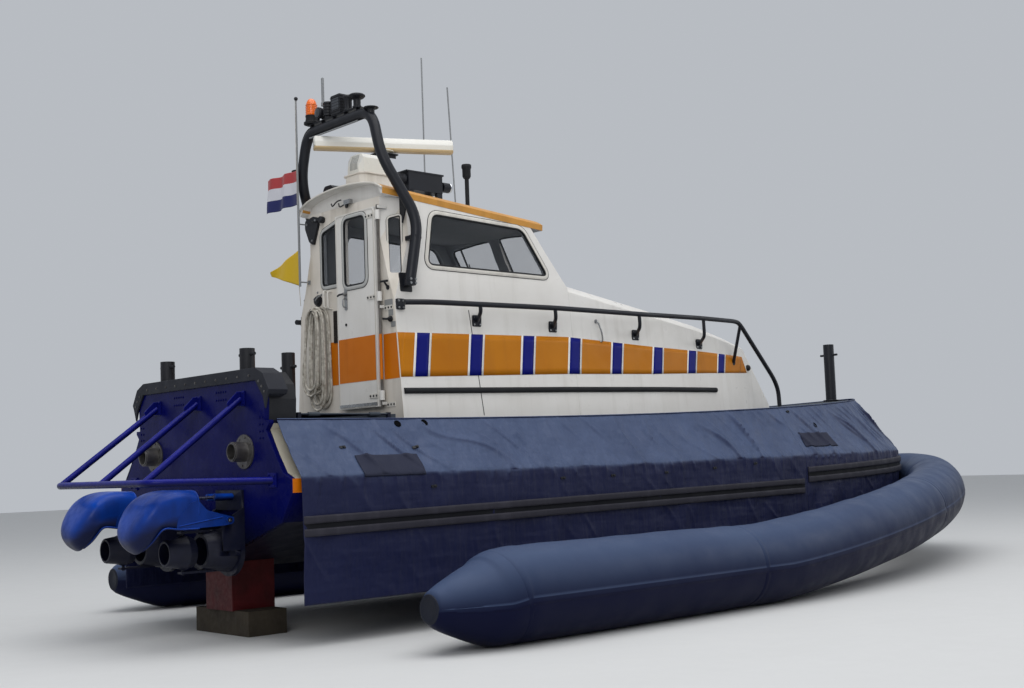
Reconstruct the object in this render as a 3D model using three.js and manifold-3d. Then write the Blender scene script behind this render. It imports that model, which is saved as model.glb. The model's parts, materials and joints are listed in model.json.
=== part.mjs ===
// Inshore rescue boat on its blocks: aluminium hull with wheelhouse, twin waterjets,
// a hanging sleeve round the hull, and its inflated collar tube laid round it on the ground.
// Units are millimetres. X runs forward, Y to port, Z up from the ground.
// Boat stations are measured forward from the transom face; the last group centres them.
import * as THREE from "three";
import { mergeVertices } from "three/addons/utils/BufferGeometryUtils.js";
import Module from "manifold-3d";

const wasm = await Module();
wasm.setup();

// Driving dimensions
const seat = 0.4; // gap between pieces that touch
const aftEnd = -834; // aft face of the stern guard
const tubeBowX = 10148.6; // centre of the collar tube at the bow, which rests on the bow band
const hullLength = 9760;
const keelHeight = 500;
const deckHeight = 1618;
const deckRise = 262; // how much the deck climbs from the transom to the stem head
const stemHead = 8900;
const bulwarkTop = 2010;
const sleeveSkin = 24;
const sleeveSeam = 6120; // where the side sleeve meets the bow sleeve
const sleeveAft = 50;
const hem = 300;
const tubeRadius = 335;
const tubeHalf = 2400; // half the spacing of the tube's two legs
const houseAft = 1430;
const houseStep = 3460; // where the wheelhouse meets the fore cabin
const wall = 45;
const jetHalf = 480; // each waterjet's distance from the centreline
const jetHeight = 680;
const bucketPivot = { x: -150, z: 904 };
const nozzlePivotX = -400;
const nozzleBall = 128;
const doorHinge = { x: 1392, y: -540 };
const hatchHinge = { y: 850, z: 1668 };
const wellX = [300, 1290];
const wellY = [130, 800];

const sheer = (x) => deckHeight + deckRise * Math.pow(Math.max(0, x) / stemHead, 2.6);
const plan = (full, start, tip) => (x) => {
  const s = Math.min(1, Math.max(0, (x - start) / (tip - start)));
  return full * Math.pow(1 - Math.pow(s, 2.2), 0.75);
};
const deckHalf = plan(1036, 5000, 8860);
const flangeHalf = plan(1330, 5000, 9710);
const chineHalf = plan(1180, 4200, 9700);
const houseHalf = (x, z) => 775 - 0.085 * (z - 1620) - 5.6e-5 * Math.pow(Math.max(0, x - 4000), 2);

// Materials, one for each finish
const paint = (color, roughness = 0.5, metalness = 0) =>
  new THREE.MeshStandardMaterial({ color, roughness, metalness });
const finish = {
  hull: paint(0x15182c, 0.6),
  blue: paint(0x1e2370, 0.35),
  jet: paint(0x194696, 0.4),
  white: paint(0xd7d4cd, 0.45),
  orange: paint(0xb5671f, 0.5),
  black: paint(0x1e2129, 0.6),
  rubber: paint(0x3c3e44, 0.8),
  sleeve: paint(0x3d4566, 0.8),
  tube: paint(0x4a5474, 0.7),
  steel: paint(0x8c8f94, 0.35, 0.8),
  glass: paint(0x41484f, 0.1),
  red: paint(0x6e141e, 0.7),
  timber: paint(0x6b5a45, 0.9),
  radar: paint(0xe6e4dc, 0.5),
  beacon: paint(0xe65a1e, 0.3),
  yellow: paint(0xd7be1e, 0.9),
  flag: paint(0xb9b4b4, 0.9),
  rope: paint(0xcfc9bb, 0.95),
  seat: paint(0x23262b, 0.85),
};

const parts = new THREE.Group();

// Geometry helpers
function solid(geometry) {
  const g = geometry.clone();
  g.deleteAttribute("normal");
  g.deleteAttribute("uv");
  const merged = mergeVertices(g, 1e-3);
  return new wasm.Manifold(
    new wasm.Mesh({
      numProp: 3,
      vertProperties: new Float32Array(merged.attributes.position.array),
      triVerts: new Uint32Array(merged.index.array),
    }),
  );
}
function geometryOf(shape) {
  const mesh = shape.getMesh();
  return new THREE.BufferGeometry()
    .setAttribute("position", new THREE.BufferAttribute(new Float32Array(mesh.vertProperties), 3))
    .setIndex(new THREE.BufferAttribute(new Uint32Array(mesh.triVerts), 1));
}
const join = (list) => geometryOf(list.map(solid).reduce((a, b) => a.add(b)));
const cut = (body, tools) => geometryOf(tools.map(solid).reduce((a, b) => a.subtract(b), solid(body)));

function add(name, geometry, material) {
  const mesh = new THREE.Mesh(geometry, material);
  mesh.name = name;
  parts.add(mesh);
}
// the same geometry on the other side of the centreline, faces still outwards
function mirrored(geometry) {
  const g = geometry.clone();
  const p = g.attributes.position;
  for (let i = 0; i < p.count; i++) p.setY(i, -p.getY(i));
  const order = g.index.array;
  for (let i = 0; i < order.length; i += 3) [order[i + 1], order[i + 2]] = [order[i + 2], order[i + 1]];
  return g;
}
function addPair(name, geometry, material) {
  add(name + "_stbd", geometry, material);
  add(name + "_port", mirrored(geometry), material);
}

const box = (x0, x1, y0, y1, z0, z1) =>
  new THREE.BoxGeometry(x1 - x0, y1 - y0, z1 - z0).translate((x0 + x1) / 2, (y0 + y1) / 2, (z0 + z1) / 2);

// A closed skin over rings of points; the first and last ring are closed flat.
// flat gives each end ring's outline in two dimensions, for closing it.
function loft(rings, flat = (p) => new THREE.Vector2(p.y, p.z)) {
  const n = rings[0].length;
  const points = rings.flat();
  const index = [];
  const close = (ring, start, outwards) => {
    const outline = ring.map(flat);
    const positive = THREE.ShapeUtils.area(outline) > 0;
    for (const [a, b, c] of THREE.ShapeUtils.triangulateShape(outline, [])) {
      const same = THREE.ShapeUtils.area([outline[a], outline[b], outline[c]]) > 0 === positive;
      const face = same === outwards ? [a, b, c] : [a, c, b];
      index.push(...face.map((i) => start + i));
    }
  };
  close(rings[0], 0, false);
  for (let i = 0; i + 1 < rings.length; i++) {
    for (let j = 0; j < n; j++) {
      const a = i * n + j;
      const b = i * n + ((j + 1) % n);
      index.push(a, b, b + n, a, b + n, a + n);
    }
  }
  close(rings[rings.length - 1], (rings.length - 1) * n, true);
  let volume = 0;
  for (let i = 0; i < index.length; i += 3) {
    const [a, b, c] = [points[index[i]], points[index[i + 1]], points[index[i + 2]]];
    volume += a.dot(new THREE.Vector3().crossVectors(b, c));
  }
  if (volume < 0) index.reverse();
  return new THREE.BufferGeometry()
    .setAttribute("position", new THREE.Float32BufferAttribute(points.flatMap((p) => [p.x, p.y, p.z]), 3))
    .setIndex(index);
}
const v3 = (x, y, z) => new THREE.Vector3(x, y, z);
// an outline in Y and Z carried from x0 to x1
const slabX = (outline, x0, x1) => loft([x0, x1].map((x) => outline.map(([y, z]) => v3(x, y, z))));
// an outline in X and Z carried from y0 to y1
const slabY = (outline, y0, y1) =>
  loft([y0, y1].map((y) => outline.map(([x, z]) => v3(x, y, z))), (p) => new THREE.Vector2(p.x, p.z));
// an outline in X and Y carried from z0 to z1
const slabZ = (outline, z0, z1) =>
  loft([z0, z1].map((z) => outline.map(([x, y]) => v3(x, y, z))), (p) => new THREE.Vector2(p.x, p.y));

// A round bar through a list of points, mitred at each bend
function bar(list, radius, sides = 8) {
  const points = list.map((p) => v3(...p));
  const last = points.length - 1;
  const way = (i) => points[i + 1].clone().sub(points[i]).normalize();
  let across = v3(0, 0, 1);
  if (Math.abs(way(0).z) > 0.9) across = v3(0, 1, 0);
  const rings = points.map((point, i) => {
    const before = i > 0 ? way(i - 1) : way(0);
    const after = i < last ? way(i) : way(last - 1);
    const normal = before.clone().add(after).normalize();
    across = across.clone().sub(before.clone().multiplyScalar(across.dot(before))).normalize();
    const side = new THREE.Vector3().crossVectors(before, across);
    const ring = [];
    for (let k = 0; k < sides; k++) {
      const a = (2 * Math.PI * (k + 0.5)) / sides;
      const q = across.clone().multiplyScalar(Math.cos(a) * radius);
      q.addScaledVector(side, Math.sin(a) * radius);
      // slide the point along the bar onto the mitre plane
      q.sub(before.clone().multiplyScalar(q.dot(normal) / before.dot(normal)));
      ring.push(q.add(point));
    }
    return ring;
  });
  const circle = new Map();
  for (const ring of [rings[0], rings[last]]) {
    ring.forEach((p, k) => {
      const a = (2 * Math.PI * k) / sides;
      circle.set(p, new THREE.Vector2(Math.cos(a), Math.sin(a)));
    });
  }
  return loft(rings, (p) => circle.get(p));
}
// A round piece about its own axis from a profile of [radius, height] pairs, turned and placed
function turned(profile, place, axis = "z", sides = 20) {
  const line = profile.map(([r, h]) => new THREE.Vector2(r, h));
  const g = new THREE.LatheGeometry(line, sides).rotateX(Math.PI / 2);
  if (axis === "x") g.rotateY(Math.PI / 2);
  if (axis === "y") g.rotateX(-Math.PI / 2);
  return geometryOf(solid(g.translate(...place)));
}
const disc = (r, h0, h1, place, axis, sides) =>
  turned([[0, h0], [r, h0], [r, h1], [0, h1]], place, axis, sides);

// Hull: a decked solid with a cove along each side, two engine wells cut in the aft deck
const stations = [
  40, 1430, 3460, 4700, 5450, 6000, 6400, 7000, 7600, 8200, 8500, 8700, 9100, 9400, 9580, 9680,
];
const deckEnd = 8700; // the deck stops here and the stem head slopes down
const stemFoot = 1270;
// the cove from deck edge to flange: share of the width, share of the height
const cove = [
  [0.23, 0.44],
  [0.59, 0.12],
];
const foreRise = (x, from, to, rise, power) => rise * Math.pow(Math.max(0, (x - from) / (to - from)), power);
function hullOutline(x) {
  const least = 14;
  const keel = keelHeight + foreRise(x, 5600, hullLength, 620, 2.2);
  const flange = 1180 + foreRise(x, 5000, hullLength, 50, 1);
  const past = Math.max(0, x - deckEnd) / (hullLength - deckEnd);
  const top = sheer(Math.min(x, deckEnd)) - past * (sheer(deckEnd) - stemFoot);
  const chine = 880 + foreRise(x, 4200, hullLength, 290, 1.5);
  const deckY = Math.max(least, deckHalf(x));
  const flangeY = Math.max(least * 2, flangeHalf(x));
  const chineY = Math.max(least, Math.min(chineHalf(x), flangeY - least));
  const half = [
    [chineY, chine],
    [flangeY, flange - 80],
    [flangeY, flange],
    ...cove.map(([u, v]) => [flangeY + (deckY - flangeY) * (1 - u), flange + (top - flange) * v]).reverse(),
    [Math.max(least, deckY - 45), top - 70],
    [deckY, top - 25],
    [deckY, top],
  ];
  return [[0, keel], ...half, ...half.slice().reverse().map(([y, z]) => [-y, z])];
}
// height of the deck between stations, as the loft makes it
function deckAt(x) {
  const i = Math.max(1, stations.findIndex((s) => s >= x));
  const [a, b] = [stations[i - 1], stations[i]];
  return sheer(a) + ((sheer(b) - sheer(a)) * (x - a)) / (b - a);
}
const hullSolid = loft(stations.map((x) => hullOutline(x).map(([y, z]) => v3(x, y, z))));
const wellFloor = 960;
const well = box(...wellX, -wellY[1], -wellY[0], wellFloor, 1800);
// the rod each hatch hangs on, in two lugs on the deck
const rodX = [wellX[0] + 60, wellX[1] - 60];
const hatchRod = join([
  disc(9, ...rodX, [0, -hatchHinge.y, hatchHinge.z], "x", 10),
  ...[rodX[0], rodX[1] - 30].map((x) =>
    box(x, x + 30, -hatchHinge.y - 14, -hatchHinge.y + 14, 1600, hatchHinge.z + 14),
  ),
]);
const hull = join([cut(hullSolid, [well, mirrored(well)]), hatchRod, mirrored(hatchRod)]);
add("hull", hull, finish.hull);

// Transom plate, the boxed bulwark behind it and the rubber capping over both
const transomOutline = hullOutline(40);
const bulwarkHalf = [
  [975, sheer(0) + 2],
  [985, 1775],
  [960, 1885],
  [850, bulwarkTop - 28],
];
const bulwarkOutline = [...bulwarkHalf, ...bulwarkHalf.slice().reverse().map(([y, z]) => [-y, z])];
const plateOutline = [[-975, 1400], [975, 1400], ...bulwarkOutline];
const transomPlate = join([transomOutline, plateOutline].map((outline) => slabX(outline, 0, 40 - seat)));
add("transom", transomPlate, finish.blue);
// mooring bitts stand through the capping, each with a cross pin
const bitt = { x: 78, y: 625, radius: 58, stem: 30 };
const bittProfile = [
  [0, 1900],
  [bitt.stem, 1900],
  [bitt.stem, bulwarkTop - 26],
  [bitt.radius, bulwarkTop - 26],
  [bitt.radius, bulwarkTop + 165],
  [0, bulwarkTop + 165],
];
const bitts = [-1, 1].flatMap((s) => [
  turned(bittProfile, [bitt.x, s * bitt.y, 0], "z", 16),
  disc(14, -105, 105, [bitt.x, s * bitt.y, bulwarkTop + 120], "y", 10),
]);
add("bulwark", join([slabX(bulwarkOutline, 40, 270), ...bitts]), finish.black);
const capOuter = [
  [1050, 1806],
  [1068, 1838],
  [988, 1962],
  [878, bulwarkTop],
  [-878, bulwarkTop],
  [-988, 1962],
  [-1068, 1838],
  [-1050, 1806],
];
const capInner = [
  [-985.5, 1790],
  [-960.5, 1885.5],
  [-850.5, bulwarkTop - 27.5],
  [850.5, bulwarkTop - 27.5],
  [960.5, 1885.5],
  [985.5, 1790],
];
const lipInner = [
  [-1010, 1700],
  [-985, 1790],
  [-880, 1915],
  [880, 1915],
  [985, 1790],
  [1010, 1700],
];
const capping = join([
  slabX([...capOuter, ...capInner], -18, 150),
  slabX([...capOuter, ...lipInner], -18, -seat),
]);
const bittHoles = [-1, 1].map((s) => disc(bitt.radius + seat, 1900, 2100, [bitt.x, s * bitt.y, 0], "z", 16));
add("transom_capping", cut(capping, bittHoles), finish.rubber);

// Sleeve: the emptied outer skin that hangs from the deck edge over the flange to its hem
const sleeveTop = { half: 1060.6, tip: 8990 };
const sleeveKnuckle = { half: 1372, tip: 9825 };
const sleeveHem = { half: 1368, tip: 9800 };
function sleeveSection(fraction, straightX, side) {
  // fraction runs from 0 at the seam to 1 at the stem; straightX is used aft of the seam
  const at = (line, inward) => {
    const tip = line.tip - inward;
    const x = straightX ?? sleeveSeam + (tip - sleeveSeam) * fraction;
    const y = plan(line.half - inward, 5000, tip)(x);
    return [x, side * y];
  };
  const [tx, ty] = at(sleeveTop, 0);
  const [kx, ky] = at(sleeveKnuckle, 0);
  const [hx, hy] = at(sleeveHem, 0);
  const [tix, tiy] = at(sleeveTop, sleeveSkin);
  const [kix, kiy] = at(sleeveKnuckle, sleeveSkin);
  const [hix, hiy] = at(sleeveHem, sleeveSkin);
  const topZ = sheer(tx) + 2;
  const kneeZ = 1200 + foreRise(kx, 3000, sleeveKnuckle.tip, 45, 1);
  const hemZ = hem + foreRise(hx, sleeveSeam, sleeveHem.tip, 650, 1.6);
  return [
    v3(tx, ty, topZ),
    v3(kx, ky, kneeZ),
    v3(hx, hy, hemZ),
    v3(hix, hiy, hemZ),
    v3(kix, kiy, kneeZ - 8),
    v3(tix, tiy, topZ - 16),
  ];
}
const sideStations = [sleeveAft, 1430, 3460, 4700, 5450, 6000, sleeveSeam - 2 * seat];
const sideSleeve = loft(
  sideStations.map((x) => sleeveSection(0, x, -1)),
  (p) => new THREE.Vector2(p.y, p.z),
);
addPair("sleeve", sideSleeve, finish.sleeve);
const bowShares = [0, 0.18, 0.36, 0.53, 0.68, 0.8, 0.89, 0.96];
const bowSleeve = loft([
  ...bowShares.map((f) => sleeveSection(f, undefined, -1)),
  sleeveSection(1, undefined, -1),
  ...bowShares.slice().reverse().map((f) => sleeveSection(f, undefined, 1)),
]);
add("sleeve_bow", bowSleeve, finish.sleeve);

// Rubbing band on the sleeve: a strip with two raised strakes
const bandRise = (x) => 65 * Math.min(1, x / 5800);
function bandSection(x, y, out, low, height) {
  // out is the unit direction away from the hull
  const step = (d, z) => v3(x + out.x * d, y + out.y * d, low + z);
  const third = height / 3;
  return [
    step(seat, 0),
    step(26, 4),
    step(26, third - 4),
    step(8, third),
    step(8, 2 * third),
    step(26, 2 * third + 4),
    step(26, height - 4),
    step(seat, height),
  ];
}
const sleeveSlope = (line, x, side) => {
  const f = plan(line.half, 5000, line.tip);
  const slope = (f(x + 1) - f(x - 1)) / 2;
  return new THREE.Vector2(-slope, side).normalize();
};
const bandStations = [sleeveAft + 6, 1430, 3460, 4700, 5450, 6070];
const sideBand = loft(
  bandStations.map((x) => {
    const y = -plan(sleeveHem.half, 5000, sleeveHem.tip)(x) - 5;
    return bandSection(x, y, sleeveSlope(sleeveKnuckle, x, -1), 775 + bandRise(x), 146);
  }),
);
addPair("rub_band", sideBand, finish.rubber);
const bowBandShares = [0.04, 0.18, 0.36, 0.53, 0.68, 0.8, 0.89, 0.96];
function bowBandSection(fraction, side) {
  const x = sleeveSeam + (sleeveKnuckle.tip - sleeveSeam) * fraction;
  const y = plan(sleeveKnuckle.half, 5000, sleeveKnuckle.tip)(x);
  const out = fraction < 1 ? sleeveSlope(sleeveKnuckle, x, side) : new THREE.Vector2(1, 0);
  return bandSection(x - out.x * seat, side * y - out.y * seat, out, 945 + 60 * fraction, 155 + 20 * fraction);
}
const bowBand = loft([
  ...bowBandShares.map((f) => bowBandSection(f, -1)),
  bowBandSection(1, -1),
  ...bowBandShares.slice().reverse().map((f) => bowBandSection(f, 1)),
]);
add("rub_band_bow", bowBand, finish.rubber);

// Collar tube: inflated, laid round the hull, its bow built with an upward sheer
const tubeBend = 3870; // where the legs start to close in and rise
const tubeSheer = 526;
const tubeBow = { along: 1.22, across: 1.26 }; // above 1 the bow is more pointed than an ellipse
function tubePoint(a) {
  // a runs from -90 degrees at the starboard bend to +90 at the port bend
  const x = tubeBend + (tubeBowX - tubeBend) * Math.pow(Math.cos(a), tubeBow.along);
  const y = tubeHalf * Math.sign(a) * Math.pow(Math.abs(Math.sin(a)), tubeBow.across);
  return v3(x, y, tubeRadius + tubeSheer * Math.pow((x - tubeBend) / (tubeBowX - tubeBend), 1.12));
}
// radius of the tail cone at each distance from its end disc
const tail = [
  [0, 95],
  [30, 120],
  [480, 305],
  [640, tubeRadius],
];
const tubeSides = 18;
const tubeStart = { stbd: 337, port: 424 };
function tubeRings() {
  const spine = [];
  const tailPoint = (name, side, [d, r]) => [v3(tubeStart[name] + d, side * tubeHalf, Math.max(r, 305)), r];
  for (const row of tail) spine.push(tailPoint("stbd", -1, row));
  for (const x of [2200, 3300]) spine.push([v3(x, -tubeHalf, tubeRadius), tubeRadius]);
  const turns = 22;
  for (let i = 0; i <= turns; i++) {
    spine.push([tubePoint(-Math.PI / 2 + (Math.PI * i) / turns), tubeRadius]);
  }
  for (const x of [3300, 2200]) spine.push([v3(x, tubeHalf, tubeRadius), tubeRadius]);
  for (const row of tail.slice().reverse()) spine.push(tailPoint("port", 1, row));
  return spine.map(([p, r], i) => {
    const before = spine[Math.max(0, i - 1)][0];
    const after = spine[Math.min(spine.length - 1, i + 1)][0];
    const way = after.clone().sub(before).normalize();
    const side = new THREE.Vector3().crossVectors(way, v3(0, 0, 1)).normalize();
    const up = new THREE.Vector3().crossVectors(side, way);
    const ring = [];
    for (let k = 0; k < tubeSides; k++) {
      const t = (2 * Math.PI * (k + 0.5)) / tubeSides;
      ring.push(p.clone().addScaledVector(side, Math.cos(t) * r).addScaledVector(up, Math.sin(t) * r));
    }
    return ring;
  });
}
add("collar_tube", loft(tubeRings()), finish.tube);

// Cradle: timber bearers with red keel blocks, and bilge pads under the turn of the hull
const keelSpots = {
  aft: { x: 350, reach: 400, pads: false },
  mid: { x: 3300, reach: 1100, pads: true },
  fore: { x: 6000, reach: 1100, pads: true },
};
const blockTop = 900; // the timbers are cut back to the hull from this height
const bearer = { top: 190, half: 170 };
const keelBlock = { along: 190, across: 200, lap: 5 };
const bilgePad = { along: 90, near: 700, far: 900, lap: 10 };
function cradle({ x, reach, pads }) {
  const beam = box(x - bearer.half, x + bearer.half, -reach, reach, 0, bearer.top);
  const across = keelBlock.across;
  const block = box(x - keelBlock.along, x + keelBlock.along, -across, across, bearer.top - keelBlock.lap, blockTop);
  const padLow = bearer.top - bilgePad.lap;
  const pad = box(x - bilgePad.along, x + bilgePad.along, -bilgePad.far, -bilgePad.near, padLow, blockTop);
  const timbers = join([beam, block, ...(pads ? [pad, mirrored(pad)] : [])]);
  return cut(timbers, [hull.clone().translate(0, 0, -seat)]);
}
for (const [name, spot] of Object.entries(keelSpots)) {
  add("cradle_" + name, cradle(spot), finish.timber);
}

// Stern guard: aft bar, an arm down each side and three struts up to the transom
const guardRadius = 27;
const guardX = aftEnd + guardRadius;
const guardY = 760;
const guardZ = 1192;
const guardFoot = 1075;
const strutFeet = [-690, 0, 690];
const strutHeads = [-655, 0, 655];
const guardCorner = [
  [-seat, guardFoot, 1180],
  [guardX + 90, guardY + 30, guardZ],
  [guardX + 20, guardY - 14, guardZ],
  [guardX, guardY - 70, guardZ],
];
const guardLine = [...guardCorner.map(([x, y, z]) => [x, -y, z]), ...guardCorner.slice().reverse()];
const guardFrame = [
  bar(guardLine, guardRadius),
  ...strutFeet.map((y, i) => bar([[guardX, y, guardZ], [-seat, strutHeads[i], 1790]], guardRadius * 0.9)),
  ...strutHeads.map((y) => box(-10, -seat, y - 60, y + 60, 1735, 1850)),
  ...[-guardFoot, guardFoot].map((y) => box(-10, -seat, y - 55, y + 55, 1130, 1235)),
];
add("stern_guard", cut(join(guardFrame), [box(-seat, 60, -1300, 1300, 1000, 2000)]), finish.blue);

// Exhaust pipes through the transom, each with its round flange
const exhaustAt = [0, -700, 1398];
const exhaustPipe = [
  [0, -120],
  [66, -120],
  [66, -110],
  [74, -110],
  [74, -seat],
  [0, -seat],
];
const exhaust = join([
  disc(128, -14, -seat, exhaustAt, "x", 24),
  turned(exhaustPipe, exhaustAt, "x", 20),
]);
addPair("exhaust", cut(exhaust, [disc(58, -140, -30, exhaustAt, "x", 20)]), finish.steel);

// Waterjets: a housing with its rams, a nozzle that steers, a bucket that drops to reverse
const jetY = -jetHalf;
const cheek = 196; // outside of each cheek plate from the jet's axis
const cheekPlate = 24;
const ramZ = 1070;
const ramSpots = [-52, 52]; // each jet's two rams, from its axis
const both = (make) => [make(-1), make(1)];
const jetCone = [
  [0, -262],
  [128, -262],
  [134, -250],
  [170, -30],
  [170, -seat],
  [0, -seat],
];
const cheekOutline = [
  [-seat, jetHeight],
  [-180, jetHeight],
  [-185, 900],
  [-150, 940],
  [-110, 930],
  [-seat, 990],
];
const webOutline = [
  [-20, jetHeight - 40],
  [-120, jetHeight - 40],
  [-120, jetHeight + 40],
  [-20, jetHeight + 40],
];
// the nozzle's trunnion lugs, above and below the outlet
function lug(side) {
  const low = side > 0 ? 137 : -153;
  const outline = [
    [-200, jetY - 40],
    [-200, jetY + 40],
    [-430, jetY + 30],
    [-430, jetY - 30],
  ];
  const root = slabZ(
    [[-150, jetY - 36], [-150, jetY + 36], [-240, jetY + 36], [-240, jetY - 36]],
    jetHeight + (side > 0 ? 100 : -153),
    jetHeight + (side > 0 ? 153 : -100),
  );
  return join([slabZ(outline, jetHeight + low, jetHeight + low + 16), root]);
}
const jetHousing = join([
  disc(200, -36, -seat, [0, jetY, jetHeight], "x", 24),
  turned(jetCone, [0, jetY, jetHeight], "x", 24),
  ...both((s) => slabY(cheekOutline, jetY + s * cheek, jetY + s * (cheek - cheekPlate))),
  ...both((s) => slabY(webOutline, jetY + s * 100, jetY + s * 190)),
  disc(18, -250, 250, [bucketPivot.x, jetY, bucketPivot.z], "y", 16),
  ...both(lug),
  box(-20, -seat, jetY - 190, jetY + 190, 970, 1118),
  ...ramSpots.map((d) => disc(26, -170, -seat, [0, jetY + d, ramZ], "x", 12)),
  ...ramSpots.map((d) => disc(11, -236, -160, [0, jetY + d, ramZ], "x", 10)),
]);
const jetTools = [
  disc(12.5, -170, 170, [nozzlePivotX, jetY, jetHeight], "z", 14),
  disc(104, -300, -60, [0, jetY, jetHeight], "x", 20),
];
addPair("jet_housing", cut(jetHousing, jetTools), finish.hull);

const nozzleProfile = [
  [0, -150],
  [88, -150],
  [96, -145],
  [108, -60],
  [nozzleBall, 0],
  [110, 62],
  [0, 62],
];
const nozzle = join([
  turned(nozzleProfile, [nozzlePivotX, jetY, jetHeight], "x", 20),
  disc(12, -162, 162, [nozzlePivotX, jetY, jetHeight], "z", 14),
]);
const nozzleBore = turned(
  [[0, -170], [76, -170], [92, 80], [0, 80]],
  [nozzlePivotX, jetY, jetHeight],
  "x",
  16,
);
addPair("jet_nozzle", cut(nozzle, [nozzleBore]), finish.hull);

const bucketHalf = 236;
const bucketPlate = 16;
const bucketSide = [
  [-112, 880],
  [-112, 930],
  [-190, 985],
  [-250, 1080],
  [-400, 1132],
  [-610, 1138],
  [-740, 1060],
  [-872, 860],
  [-872, 790],
  [-770, 690],
  [-690, 760],
  [-560, 855],
  [-180, 868],
];
// the open room under the bucket's head, open towards the jet and below
const bucketInner = [
  [-60, 780],
  [-60, 1020],
  [-215, 1020],
  [-270, 1060],
  [-404, 1114],
  [-602, 1120],
  [-724, 1048],
  [-852, 852],
  [-852, 797],
  [-745, 650],
  [-300, 600],
];
// the splitter that turns the jet to both sides
const splitter = [
  [-860, 852],
  [-860, 797],
  [-790, 720],
  [-760, 800],
  [-724, 1056],
];
const bucketBlock = slabY(bucketSide, jetY - bucketHalf, jetY + bucketHalf);
const bucketRoom = slabY(bucketInner, jetY - bucketHalf + bucketPlate, jetY + bucketHalf - bucketPlate);
const pivotHole = disc(18.6, -300, 300, [bucketPivot.x, jetY, bucketPivot.z], "y", 16);
const bucket = cut(join([cut(bucketBlock, [bucketRoom]), slabY(splitter, jetY - 9, jetY + 9)]), [pivotHole]);
addPair("reverse_bucket", bucket, finish.jet);

// Posts on deck for towing and mooring
function post(x, height, radius, crossAt, crossHalf) {
  // it stands on the highest point of the deck under its foot
  const z = deckAt(x + 1.5 * radius) + seat;
  return join([
    disc(1.5 * radius, 0, 12, [x, 0, z], "z", 16),
    disc(radius, 0, height, [x, 0, z], "z", 16),
    disc(14, -crossHalf, crossHalf, [x, 0, z + crossAt], "y", 10),
  ]);
}
add("tow_post", post(840, 600, 56, 480, 110), finish.black);
add("bow_post", post(8600, 690, 64, 560, 120), finish.black);

// Engines, one plain block in each well, on its bed
const engineHalf = 260;
const engineTop = 1560;
const engineBlock = box(
  wellX[0] + 40,
  wellX[1] - 60,
  -(wellY[0] + wellY[1]) / 2 - engineHalf,
  -(wellY[0] + wellY[1]) / 2 + engineHalf,
  wellFloor + seat,
  engineTop,
);
addPair("engine", geometryOf(solid(engineBlock)), finish.steel);

// Hatch lids over the wells, hinged along their outboard edge
const lidLow = deckAt(wellX[1]) + 8;
const lidThick = 42;
const knuckleLength = 100;
const knuckleSpots = [wellX[0] + 160, wellX[1] - 260];
const lid = join([
  box(wellX[0] - 20, wellX[1] + 20, -hatchHinge.y + 30, -wellY[0] + 20, lidLow, lidLow + lidThick),
  ...knuckleSpots.map((x) => disc(16, x, x + knuckleLength, [0, -hatchHinge.y, hatchHinge.z], "x", 12)),
  ...knuckleSpots.map((x) =>
    box(x, x + knuckleLength, -hatchHinge.y, -hatchHinge.y + 40, hatchHinge.z - 8, hatchHinge.z + 2),
  ),
]);
const lidBore = disc(9.6, 0, 2000, [0, -hatchHinge.y, hatchHinge.z], "x", 10);
addPair("hatch", cut(lid, [lidBore]), finish.white);

// Wheelhouse shell: leaning sides, an aft wall whose corners are cut back above the shoulder,
// and a raked two-pane windscreen; the roof is apart
const roofEdge = (x) => 3573 - 0.083 * (x - 1460);
const roofDepth = 64;
const screenTop = { corner: 3060, centre: 3190 };
const screenTopHeight = 3366;
const sillHeight = 2836;
const shoulder = { low: 2620, high: 3150, back: 200, flat: 520 }; // the cut corners grow between these
const footGap = 0.6;
const inPlan = (p) => new THREE.Vector2(p.x, p.y);
const levels = ["foot", shoulder.low, sillHeight, shoulder.high, "top"];
const mix = (a, b, t) => a + (b - a) * Math.min(1, Math.max(0, t));
function houseRing(level, inset) {
  const plain = { foot: deckAt, top: (x) => roofEdge(x) - roofDepth }[level] ?? (() => level);
  const shift = { foot: footGap - inset, top: inset - seat }[level] ?? 0;
  const rake = { foot: 0, top: 1 }[level] ?? (level - sillHeight) / (screenTopHeight - sillHeight);
  const corner = mix(houseStep, screenTop.corner, rake);
  const centre = mix(houseStep, screenTop.centre, rake);
  const chamfer = { foot: 0, top: 1 }[level] ?? (level - shoulder.low) / (shoulder.high - shoulder.low);
  const back = mix(2, shoulder.back, chamfer);
  const full = houseHalf(houseAft, plain(houseAft));
  const flat = Math.min(mix(full - 2, shoulder.flat, chamfer) - 0.4 * inset, full - inset - 2);
  const point = (x, y) => v3(x, y, plain(x) + shift);
  const side = (x) => houseHalf(x, plain(x)) - inset;
  const half = [
    [houseAft + inset, flat],
    [houseAft + back + 0.4 * inset, side(houseAft + back)],
    [corner - inset, side(corner)],
  ];
  return [
    ...half.map(([x, y]) => point(x, -y)),
    point(centre - inset, 0),
    ...half.slice().reverse().map(([x, y]) => point(x, y)),
  ];
}
const houseLoft = (inset) => loft(levels.map((level) => houseRing(level, inset)), inPlan);

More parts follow.
